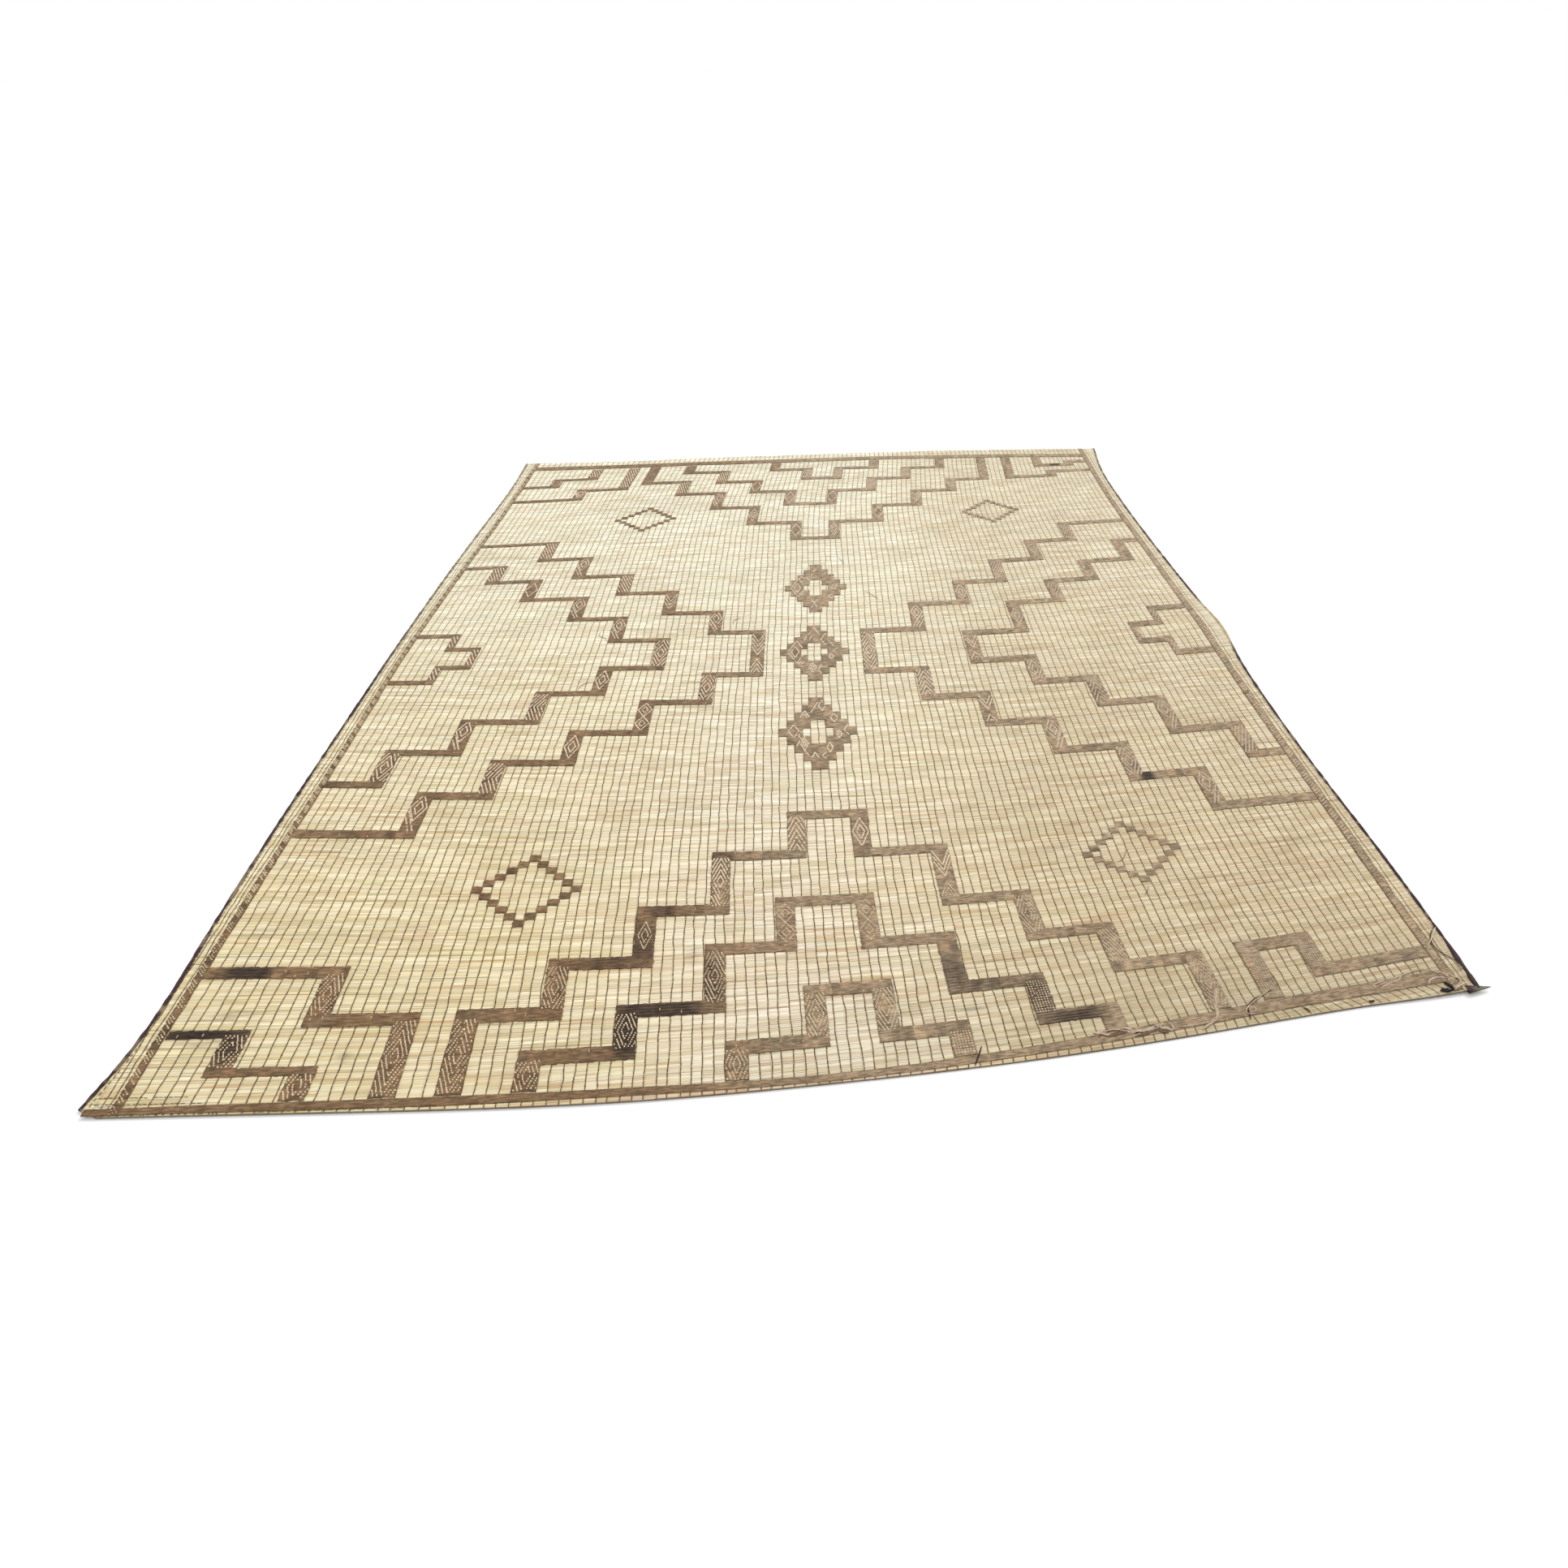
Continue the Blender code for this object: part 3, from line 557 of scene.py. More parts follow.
def smooth_lookup(at: Array, stations: Sequence[float], values: Sequence[float]) -> Array:
    """Read a smooth curve through the stations' values.

    Each stretch is a cubic whose end slopes are the mean slopes of its neighbours.

    Args:
        at: the places to read.
        stations: where the values stand, in rising order.
        values: the values there.

    Returns:
        The curve's value at each place.
    """
    stations = np.asarray(stations, float)
    values = np.asarray(values, float)
    at = np.clip(np.asarray(at, float), stations[0], stations[-1])
    slopes = np.gradient(values, stations)
    index = np.clip(np.searchsorted(stations, at) - 1, 0, len(stations) - 2)
    span = stations[index + 1] - stations[index]
    share = (at - stations[index]) / span
    return cubic(values[index], values[index + 1], slopes[index], slopes[index + 1], span, share)


def smooth_step(value: Array, low: float, high: float) -> Array:
    """Rise from 0 at low to 1 at high, with level ends."""
    share = np.clip((np.asarray(value, float) - low) / (high - low), 0.0, 1.0)
    return share * share * (3 - 2 * share)


@dataclass(frozen=True)
class Chart:
    """The even chart, and where its points lie on the floor.

    Attributes:
        origin_x: where the chart's middle lies across.
        origin_y: where the chart's middle lies along.
        bulge: how far the right edge's bulge stands off the floor.
        corner_lift: how far the near right corner stands off the floor.
        waves: how far the mat's slow waves rise.
    """

    origin_x: float = 0.0095
    origin_y: float = -0.121
    bulge: float = 0.0070
    corner_lift: float = 0.0040
    waves: float = 0.0016

    def drift(self, table: Sequence[Drift], u: Array, v: Array) -> Array:
        """Read a drift table: smooth along the mat, then smooth across it.

        Args:
            table: the drift at five places across for each row.
            u: chart places across.
            v: chart places along.

        Returns:
            The drift at each point.
        """
        rows = [entry.row for entry in table]
        columns = np.array([smooth_lookup(v, rows, values) for values in list(zip(*table))[1:]])
        places = np.linspace(-DRIFT_ACROSS, DRIFT_ACROSS, len(columns))
        step = places[1] - places[0]
        slopes = np.gradient(columns, step, axis=0)
        index = np.clip(((u - places[0]) / step).astype(int), 0, len(places) - 2)
        share = np.clip((u - places[index]) / step, -DRIFT_BEYOND, 1 + DRIFT_BEYOND)
        here, there = (index, np.arange(len(u))), (index + 1, np.arange(len(u)))
        return cubic(columns[here], columns[there], slopes[here], slopes[there], step, share)

    def place(self, u: Array, v: Array) -> Array:
        """Carry chart points to the floor.

        Args:
            u: chart places across.
            v: chart places along.

        Returns:
            The x and y of each point, two columns.
        """
        u = np.asarray(u, float).ravel()
        v = np.asarray(v, float).ravel()
        x = u + self.drift(THONG_DRIFT, u, v) + self.origin_x
        y = v + self.drift(ROW_DRIFT, u, v) + self.origin_y
        return np.column_stack((x, y))

    def lift(self, u: Array, v: Array) -> Array:
        """Work out how far the mat stands off the floor.

        Slow crossed sine waves, a bulge at the middle of the right edge that fades over a hand's
        width inwards, and a raised near right corner.

        Args:
            u: chart places across.
            v: chart places along.

        Returns:
            The height of each point over the flat mat's.
        """
        wave = 0.5 + 0.25 * np.sin(2.1 * u + 1.3 * v) + 0.25 * np.sin(3.7 * v - 1.9 * u + 0.8)
        edge = smooth_step(u, 1.25, 1.50) * np.exp(-(((v - 0.03) / 0.16) ** 2))
        corner = smooth_step(u, 1.20, 1.50) * smooth_step(-v, 1.85, 2.15)
        return self.waves * wave + self.bulge * edge + self.corner_lift * corner

    def solid(self, u: Array, v: Array, height: Array) -> Array:
        """Carry chart points to their place in space.

        Args:
            u: chart places across.
            v: chart places along.
            height: how high the points stand in the flat mat.

        Returns:
            The x, y and z of each point, three columns.
        """
        u = np.asarray(u, float).ravel()
        v = np.asarray(v, float).ravel()
        height = np.broadcast_to(np.asarray(height, float), u.shape)
        return np.column_stack((self.place(u, v), height + self.lift(u, v)))

    def end_wander(self, u: Array, column: str) -> Array:
        """Return one column of the ends' wander at each u."""
        values = [getattr(row, column) for row in END_WANDER]
        return smooth_lookup(u, [row.across for row in END_WANDER], values)

    def end_edge(self, u: Array, end: int) -> Array:
        """Work out the near or the far edge's row.

        The near edge is cut slantwise at the left corner and sags towards the right one.

        Args:
            u: chart places across.
            end: -1 for the near edge and +1 for the far one.

        Returns:
            The edge's chart row at each u.
        """
        if end > 0:
            return FAR_EDGE + self.end_wander(u, "far_edge")
        u = np.asarray(u, float)
        cut = NEAR_LEFT_CUT * smooth_step(-u, *NEAR_LEFT_REACH)
        sag = NEAR_RIGHT_DROP * smooth_step(u, *NEAR_RIGHT_REACH)
        return NEAR_EDGE + self.end_wander(u, "near_edge") + (cut - sag)

    def side_line(self, v: Array, side: int) -> Array:
        """Return the chart u of the left (-1) or right (+1) edge at each v."""
        values = [row.left_edge if side < 0 else row.right_edge for row in SIDE_WANDER]
        return side * HALF_WIDTH + smooth_lookup(v, [row.along for row in SIDE_WANDER], values)

    def border_line(self, u: Array, end: int, towards_middle: bool) -> Array:
        """Return the row of an end border's edge at each u.

        Args:
            u: chart places across.
            end: -1 for the near border and +1 for the far one.
            towards_middle: whether the edge is the one that faces the mat's middle.

        Returns:
            The border's middle line, moved by half its width.
        """
        name = "near" if end < 0 else "far"
        base = NEAR_BORDER_ROW if end < 0 else FAR_BORDER_ROW
        middle = base + self.end_wander(u, name + "_border")
        half = self.end_wander(u, name + "_width") / 2
        return middle - end * half if towards_middle else middle + end * half


CHART = Chart()


class Shader:
    """Builds one material's node tree a step at a time."""

    def __init__(self, name: str, roughness: float) -> None:
        """Start a Principled material.

        Args:
            name: the material's name.
            roughness: the roughness of the whole surface.
        """
        self.material = bpy.data.materials.new(name)
        self.material.use_nodes = True
        self.tree = self.material.node_tree
        self.surface = self.tree.nodes["Principled BSDF"]
        self.surface.inputs["Roughness"].default_value = roughness

    def add(self, kind: str, inputs: Optional[dict] = None, **settings: object) -> bpy.types.Node:
        """Add a node.

        Args:
            kind: Blender's name of the node type.
            inputs: values or sockets by input name or number.
            settings: the node's own properties.

        Returns:
            The node.
        """
        node = self.tree.nodes.new(kind)
        for name, value in settings.items():
            setattr(node, name, value)
        for name, value in (inputs or {}).items():
            if isinstance(value, Socket):
                self.tree.links.new(value, node.inputs[name])
            else:
                node.inputs[name].default_value = value
        return node

    def chart(self, across: float, along: float, shift: float = 0.0) -> Socket:
        """Place a pattern on the chart.

        Args:
            across: how many units of the pattern there are in a metre across.
            along: how many there are in a metre along.
            shift: how far the pattern is moved.

        Returns:
            The scaled and shifted chart coordinates.
        """
        source = self.add("ShaderNodeUVMap", uv_map=CHART_MAP).outputs["UV"]
        inputs = {"Vector": source, "Scale": (across, along, 1.0), "Location": (shift, shift, 0.0)}
        return self.add("ShaderNodeMapping", inputs).outputs["Vector"]

    def noise(self, where: Socket, detail: float = 2.0, rough: float = 0.5) -> Socket:
        """Return a flat noise, one bump for each unit of the coordinates."""
        inputs = {"Vector": where, "Scale": 1.0, "Detail": detail, "Roughness": rough}
        return self.add("ShaderNodeTexNoise", inputs, noise_dimensions="2D").outputs["Fac"]

    def math(self, operation: str, first: object, second: object = 0.0) -> Socket:
        """Return a sum of two values, a product, or another of Blender's operations."""
        return self.add("ShaderNodeMath", {0: first, 1: second}, operation=operation).outputs[0]

    def spread(self, value: object, low: float, high: float, start: float, end: float) -> Socket:
        """Return the value's range low to high carried smoothly to start to end."""
        inputs = {"Value": value, "From Min": low, "From Max": high, "To Min": start, "To Max": end}
        return self.add("ShaderNodeMapRange", inputs, interpolation_type="SMOOTHSTEP").outputs["Result"]

    def mix(self, factor: object, first: object, second: object, blend: str = "MIX") -> Socket:
        """Return two colours mixed by the factor."""
        inputs = {0: factor, 6: first, 7: second}
        return self.add("ShaderNodeMix", inputs, data_type="RGBA", blend_type=blend).outputs[2]

    def tint(self) -> Socket:
        """Return the colour that each point of the mesh carries."""
        return self.add("ShaderNodeAttribute", attribute_name=TINT).outputs["Color"]

    def shaded(self, colour: Socket, light: Socket) -> Socket:
        """Return a colour made lighter or darker by a value."""
        node = self.add("ShaderNodeVectorMath", {0: colour, 1: light}, operation="MULTIPLY")
        return node.outputs[0]

    def finish(self, colour: Socket, height: Socket, depth: float) -> Material:
        """Give the surface its colour and its fine relief.

        Args:
            colour: the colour.
            height: the relief, 0 to 1.
            depth: how deep the relief is, in metres.

        Returns:
            The material.
        """
        bump = self.add("ShaderNodeBump", {"Strength": 1.0, "Distance": depth, "Height": height})
        self.tree.links.new(bump.outputs["Normal"], self.surface.inputs["Normal"])
        self.tree.links.new(colour, self.surface.inputs["Base Color"])
        return self.material


@dataclass(frozen=True)
class ReedLayer:
    """One layer of straight streaks, each a length of reed with a tone of its own.

    Attributes:
        thick: how thick a streak is along the mat, in metres.
        length: how long it is across the mat, in thong pitches.
        seed: what makes the layer differ from the others.
        low: the share of streaks that keep the surface's own tone.
        high: the share above which a streak has the layer's full strength.
        tone: what a streak of full strength makes of the surface's tone.
    """

    thick: float
    length: float
    seed: float
    low: float
    high: float
    # The default tone is the dark brown of the painted shade in the gaps between reeds.
    tone: tuple[float, float, float, float] = (0.165, 0.115, 0.060, 1.0)


@dataclass(frozen=True)
class ReedFinish:
    """The reeds: straight streaks of uneven tone, a few pinkish or greenish, and painted shade in gaps.

    Attributes:
        sway: how far the reeds stray from straight lines, in metres.
        fine: single reeds.
        bundle: bundles of reeds.
        pink: pinkish reeds.
        green: greenish reeds.
        short_gap_shade: painted shade in gaps between reeds, a few thongs long.
        long_gap_shade: painted shade in gaps between reeds that run far across the mat.
        short_width: how wide a short gap is, as a share of half a streak.
        long_width: how wide a long gap is.
        short_strength: how dark the painted shade in short gaps is, where faintest and where strongest.
        long_strength: how dark the painted shade in long gaps is.
        pinch: how far a thong's painted shade reaches over the reeds, as a share of half the pitch.
        shade: how dark the painted shade makes the reeds right beside a thong.
        relief: how deep the reeds' roundness is, in metres.
    """

    sway: float = 0.010
    fine: ReedLayer = ReedLayer(0.0046, 2.0, 3.0, 0.15, 1.0, (0.82, 0.75, 0.64, 1.0))
    bundle: ReedLayer = ReedLayer(0.0105, 5.0, 17.0, 0.20, 1.0, (0.88, 0.83, 0.75, 1.0))
    pink: ReedLayer = ReedLayer(0.0062, 6.0, 29.0, 0.86, 0.99, (0.88, 0.74, 0.66, 1.0))
    green: ReedLayer = ReedLayer(0.0130, 8.0, 43.0, 0.72, 0.95, (0.94, 0.96, 0.88, 1.0))
    short_gap_shade: ReedLayer = ReedLayer(0.0066, 3.0, 61.0, 0.22, 0.95)
    long_gap_shade: ReedLayer = ReedLayer(0.0260, 16.0, 83.0, 0.50, 0.85)
    short_width: float = 0.58
    long_width: float = 0.17
    short_strength: tuple[float, float] = (0.32, 0.72)
    long_strength: float = 0.75
    pinch: float = 0.34
    shade: float = 0.82
    relief: float = 0.0007

    def material(self) -> Material:
        """Return the reeds' material.

        The colour is the mesh's own, times a painted shade beside the thongs, times the tone of each
        streak, mixed with the dark tone of the painted shade in the gaps between reeds. The height is
        the roundness of each reed added to the pillow between two thongs.

        Returns:
            The material.
        """
        shader = Shader("reed", 0.58)
        split = shader.add("ShaderNodeSeparateXYZ", {"Vector": shader.chart(1.0, 1.0)})
        across = split.outputs["X"]
        wander = shader.noise(shader.chart(1.4, 5.0, 2.7), 1.0, 0.5)
        along = shader.math("ADD", split.outputs["Y"], shader.math("MULTIPLY", wander, self.sway))
        between = THONG_PITCH / 2
        from_thong = shader.math("PINGPONG", shader.math("ADD", across, 200 * between), between)
        # Painted shade: the reeds are darkened right beside each thong, where they are pressed in.
        beside = shader.spread(from_thong, 0.0, self.pinch * between, self.shade, 1.0)
        colour = shader.shaded(shader.tint(), beside)
        for layer in (self.fine, self.bundle, self.pink, self.green):
            streak = self._streak(shader, across, along, layer)
            tone = shader.mix(streak, (1.0, 1.0, 1.0, 1.0), layer.tone)
            colour = shader.mix(1.0, colour, tone, "MULTIPLY")
        # Painted shade: dark lines in the gaps between reeds, short ones and long ones.
        short_gap_shade = self._gap_shade(shader, across, along, self.short_gap_shade, self.short_width)
        long_gap_shade = self._gap_shade(shader, across, along, self.long_gap_shade, self.long_width)
        slow = shader.noise(shader.chart(1.5, 3.2, 5.3), 2.0, 0.6)
        strength = shader.spread(slow, 0.40, 0.62, *self.short_strength)
        colour = shader.mix(shader.math("MULTIPLY", short_gap_shade, strength), colour, self.short_gap_shade.tone)
        strength = shader.math("MULTIPLY", long_gap_shade, self.long_strength)
        colour = shader.mix(strength, colour, self.long_gap_shade.tone)
        half = self.fine.thick / 2
        rounded = shader.math("PINGPONG", shader.math("ADD", along, 200 * half), half)
        height = shader.spread(rounded, 0.0, half, 0.0, 0.5)
        pillow = shader.spread(from_thong, 0.0, between, 0.0, 0.5)
        return shader.finish(colour, shader.math("ADD", height, pillow), self.relief)

    def _streak(self, shader: Shader, across: Socket, along: Socket, layer: ReedLayer) -> Socket:
        """Return a layer's strength at each place.

        The mat is cut along into streaks and each streak across into lengths, whose ends lie under
        different thongs from streak to streak. Each length has one random value.

        Args:
            shader: the material's builder.
            across: the place across.
            along: the place along.
            layer: the layer.

        Returns:
            0 where the layer leaves the surface alone and 1 where it is strongest.
        """
        row = shader.math("FLOOR", shader.math("MULTIPLY", along, 1 / layer.thick))
        place = shader.add("ShaderNodeCombineXYZ", {"X": row, "Y": layer.seed})
        start = self._chance(shader, place, "2D")
        thong = shader.math("FLOOR", shader.math("MULTIPLY", across, 1 / THONG_PITCH))
        moved = shader.math("ADD", shader.math("MULTIPLY", thong, 1 / layer.length), start)
        part = shader.math("FLOOR", moved)
        cell = shader.add("ShaderNodeCombineXYZ", {"X": part, "Y": row, "Z": layer.seed})
        return shader.spread(self._chance(shader, cell, "3D"), layer.low, layer.high, 0.0, 1.0)

    def _chance(self, shader: Shader, place: bpy.types.Node, dimensions: str) -> Socket:
        """Draw a random value for each place.

        Args:
            shader: the material's builder.
            place: the node that puts the places together.
            dimensions: how many numbers a place has, in Blender's words.

        Returns:
            The values, 0 to 1.
        """
        inputs = {"Vector": place.outputs[0]}
        noise = shader.add("ShaderNodeTexWhiteNoise", inputs, noise_dimensions=dimensions)
        return noise.outputs["Value"]

    def _gap_shade(self, shader: Shader, across: Socket, along: Socket, layer: ReedLayer,
             width: float) -> Socket:
        """Return the painted shade in the gaps along the edges of a layer's streaks.

        Args:
            shader: the material's builder.
            across: the place across.
            along: the place along.
            layer: the layer.
            width: how wide a gap is, as a share of half a streak.

        Returns:
            The layer's strength in the middle of a gap, and 0 away from it.
        """
        shares = shader.math("FRACT", shader.math("MULTIPLY", along, 1 / layer.thick))
        line = shader.spread(shares, 0.0, width, 1.0, 0.0)
        return shader.math("MULTIPLY", line, self._streak(shader, across, along, layer))


@dataclass(frozen=True)
class LeatherFinish:
    """Leather: mottled, and streaked by the courses in which it goes over the reeds.

    Attributes:
        name: the material's name.
        roughness: how dull it is.
        mottle: how much lighter and darker the mottling is.
        streak: how much lighter and darker the courses are.
        across: how many streaks there are in a metre across the mat.
        along: how many there are in a metre along it.
        relief: how deep they are, in metres.
    """

    name: str
    roughness: float
    mottle: float
    streak: float
    across: float
    along: float
    relief: float

    def material(self) -> Material:
        """Return the leather's material.

        The colour is the mesh's own, times the mottling, the courses and a fine grain. The height
        is the courses with a little of the grain.

        Returns:
            The material.
        """
        shader = Shader(self.name, self.roughness)
        shader.surface.inputs["Specular IOR Level"].default_value = 0.15
        cloudy = shader.noise(shader.chart(55.0, 42.0, 2.2), 2.0, 0.6)
        course = shader.noise(shader.chart(self.across, self.along, 4.4), 1.0, 0.5)
        grain = shader.noise(shader.chart(420.0, 420.0, 8.1), 2.0, 0.6)
        light = shader.spread(cloudy, 0.30, 0.70, 1.0 - self.mottle, 1.0 + self.mottle)
        streaks = shader.spread(course, 0.32, 0.68, 1.0 - self.streak, 1.0 + self.streak)
        light = shader.math("MULTIPLY", light, streaks)
        light = shader.math("MULTIPLY", light, shader.spread(grain, 0.25, 0.75, 0.93, 1.07))
        colour = shader.shaded(shader.tint(), light)
        height = shader.math("ADD", course, shader.math("MULTIPLY", grain, 0.3))
        return shader.finish(colour, height, self.relief)


WOVEN_LEATHER = LeatherFinish("woven_leather", 0.72, 0.15, 0.26, 38.0, 190.0, 0.0007)
BINDING_LEATHER = LeatherFinish("binding_leather", 0.60, 0.20, 0.16, 120.0, 120.0, 0.0008)
THONG_LEATHER = LeatherFinish("thong_leather", 0.75, 0.14, 0.16, 260.0, 170.0, 0.0005)
PALE_REED = LeatherFinish("pale_reed_floats", 0.60, 0.06, 0.10, 60.0, 260.0, 0.0003)


@dataclass(frozen=True)
class Tones:
    """The mat's main colours, before light falls on them.

    Attributes:
        reed_left: reeds on the left half.
        reed_middle: the paler reeds down the middle.
        reed_right: the duller reeds on the right.
        reed_far: the palest reeds, at the far end, where their paleness is painted haze light.
        reed_pink: the pinkish strip of reeds along the near edge.
        leather_near: the bands' leather towards the near end.
        leather_far: the paler leather towards the right, and towards the far end as painted haze light.
        leather_dark: stained leather.
        thong: the thongs that bind the reeds.
        thong_far: the same, paler towards the far end as painted haze light.
        binding: the dark leather along both long edges.
        float_near: the pale figures towards the near end.
        float_middle: the pale figures on the filled diamonds.
        float_far: the pale figures towards the far end.
        float_right: the fainter pale figures on the right.
        float_border: the pale figures on the side borders.
        loose: the loose thongs.
    """

    reed_left: Colour = linear(233, 221, 184)
    reed_middle: Colour = linear(236, 226, 204)
    reed_right: Colour = linear(212, 197, 164)
    reed_far: Colour = linear(247, 245, 226)
    reed_pink: Colour = linear(222, 196, 170)
    leather_near: Colour = linear(119, 94, 68)
    leather_far: Colour = linear(157, 138, 113)
    leather_dark: Colour = linear(40, 32, 28)
    thong: Colour = linear(108, 88, 58)
    thong_far: Colour = linear(156, 134, 98)
    binding: Colour = linear(56, 38, 42)
    float_near: Colour = linear(206, 186, 154)
    float_middle: Colour = linear(206, 186, 163)
    float_far: Colour = linear(218, 200, 174)
    float_right: Colour = linear(186, 166, 140)
    float_border: Colour = linear(196, 178, 142)
    loose: Colour = linear(178, 158, 136)


TONES = Tones()


def blend(first: Colour, second: Colour, share: Array) -> Array:
    """Return colours between the first (share 0) and the second (share 1), one row a point."""
    share = np.clip(np.asarray(share, float), 0.0, 1.0)[:, None]
    return np.asarray(first) * (1 - share) + np.asarray(second) * share


def marked(u: Array, v: Array, marks: Sequence[Mark]) -> Array:
    """Work out how stained each point is: the deepest of the marks there, each a soft bell.

    Args:
        u: chart places across.
        v: chart places along.
        marks: the marks.

    Returns:
        The stain at each point, 0 where there is none.
    """
    deepest = np.zeros(len(u))
    for mark in marks:
        bell = np.exp(-(((u - mark.u) / mark.reach_u) ** 4) - ((v - mark.v) / mark.reach_v) ** 4)
        deepest = np.maximum(deepest, mark.depth * bell)
    return deepest


def reed_tint(u: Array, v: Array) -> Array:
    """Return the reeds' colour at each point.

    It runs from yellowish at the left to dull at the right, with a paler bell down the middle,
    grows to the palest at the far end as painted haze light, and darkens a little at the near end,
    where a strip outside the border is pinkish.

    Args:
        u: chart places across.
        v: chart places along.

    Returns:
        The colours, one row a point.
    """
    middle = np.exp(-(((u + 0.14) / 0.40) ** 2))
    colours = blend(TONES.reed_left, TONES.reed_right, smooth_step(u, -0.15, 0.75))
    colours = colours * (1 - middle[:, None]) + np.asarray(TONES.reed_middle) * middle[:, None]
    # Painted haze light: the reeds grow paler towards the far end.
    far = smooth_step(v, -1.9, 1.2)[:, None] * (0.95 - 0.48 * smooth_step(u, 0.1, 0.8))[:, None]
    colours = colours * (1 - far) + np.asarray(TONES.reed_far) * far
    near = smooth_step(-v, 1.6, 2.15) * (0.06 + 0.10 * smooth_step(u, -0.6, 0.3))
    left_half = smooth_step(u, -1.3, -1.0) * (1 - smooth_step(u, 0.3, 0.6))
    end_strip = (0.7 * smooth_step(-v, 2.136, 2.146) * left_half)[:, None]
    colours = colours * (1 - near)[:, None]
    return colours * (1 - end_strip) + np.asarray(TONES.reed_pink) * end_strip


def leather_tint(u: Array, v: Array) -> Array:
    """Return the bands' colour: browner at the near left, paler at the right and at the far end, the
    latter painted haze light.
    """
    # Painted haze light: the first term pales the leather towards the far end; the second pales it to
    # the right.
    paling = 0.30 * smooth_step(v, -1.7, 1.2) + 0.62 * smooth_step(u, -0.6, 0.10)
    return blend(TONES.leather_near, TONES.leather_far, paling)


@dataclass
class Sheet:
    """A mesh before it goes to Blender.

    Attributes:
        points: x, y and z of each point.
        faces: the corners of each face, all of one length.
        chart: the chart coordinates of each point.
        colours: the colour that each point carries.
    """

    points: Array
    faces: Array
    chart: Array
    colours: Array

    @classmethod
    def at(cls, u: Array, v: Array, height: Array, faces: Array,
           colours: Array) -> "Sheet":
        """Make a mesh of chart points that stand the given height over the floor."""
        return cls(CHART.solid(u, v, height), faces, np.column_stack((u, v)), colours)

    def joined(self, other: "Sheet") -> "Sheet":
        """Put two meshes together.

        Args:
            other: the mesh that comes after this one.

        Returns:
            Both as one mesh.
        """
        return Sheet(
            np.vstack((self.points, other.points)),
            np.vstack((self.faces, other.faces + len(self.points))),
            np.vstack((self.chart, other.chart)),
            np.vstack((self.colours, other.colours)),
        )


def build(name: str, sheet: Sheet, material: Material, slot: str, *nodes: str) -> bpy.types.Object:
    """Make an object of a mesh and let it ride on the mat.

    Args:
        name: the piece's name.
        sheet: its mesh.
        material: its material.
        slot: the name of a material slot; it is not used.
        nodes: the solids that it stands for.

    Returns:
        The object.
    """
    mesh = bpy.data.meshes.new(name)
    count, corners = sheet.faces.shape
    mesh.vertices.add(len(sheet.points))
    mesh.vertices.foreach_set("co", sheet.points.astype(np.float32).ravel())
    mesh.loops.add(count * corners)
    mesh.loops.foreach_set("vertex_index", sheet.faces.astype(np.int32).ravel())
    mesh.polygons.add(count)
    mesh.polygons.foreach_set("loop_start", np.arange(0, count * corners, corners, dtype=np.int32))
    mesh.polygons.foreach_set("use_smooth", np.ones(count, bool))
    layer = mesh.uv_layers.new(name=CHART_MAP)
    layer.data.foreach_set("uv", sheet.chart[sheet.faces.ravel()].astype(np.float32).ravel())
    tint = mesh.attributes.new(TINT, "FLOAT_COLOR", "POINT")
    colours = np.column_stack((sheet.colours, np.ones(len(sheet.colours))))
    tint.data.foreach_set("color", colours.astype(np.float32).ravel())
    mesh.update(calc_edges=True)
    mesh.validate()
    mesh.materials.append(material)
    made = bpy.data.objects.new(name, mesh)
    bpy.context.scene.collection.objects.link(made)
    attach(made, BODY)
    if nodes:
        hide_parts(*nodes)
    log.info("%s: %d faces", name, count)
    return made


def grid_faces(rows: int, columns: int) -> Array:
    """Return the four-cornered faces of a grid whose points run column by column within each row."""
    corner = (np.arange(rows - 1)[:, None] * columns + np.arange(columns - 1)).ravel()
    return np.column_stack((corner, corner + 1, corner + 1 + columns, corner + columns))


def strip_faces(count: int, rings: int, around: int) -> Array:
    """Make the faces of several tubes, each a row of closed rings.

    Args:
        count: how many tubes there are.
        rings: how many rings each has.
        around: how many points a ring has.

    Returns:
        The four-cornered faces.
    """
    tube = np.arange(count)[:, None, None] * rings * around
    ring = np.arange(rings - 1)[None, :, None] * around
    point = np.arange(around)[None, None, :]
    after = (point + 1) % around
    first, second = tube + ring + point, tube + ring + after
    return np.stack((first, second, second + around, first + around), axis=-1).reshape(-1, 4)


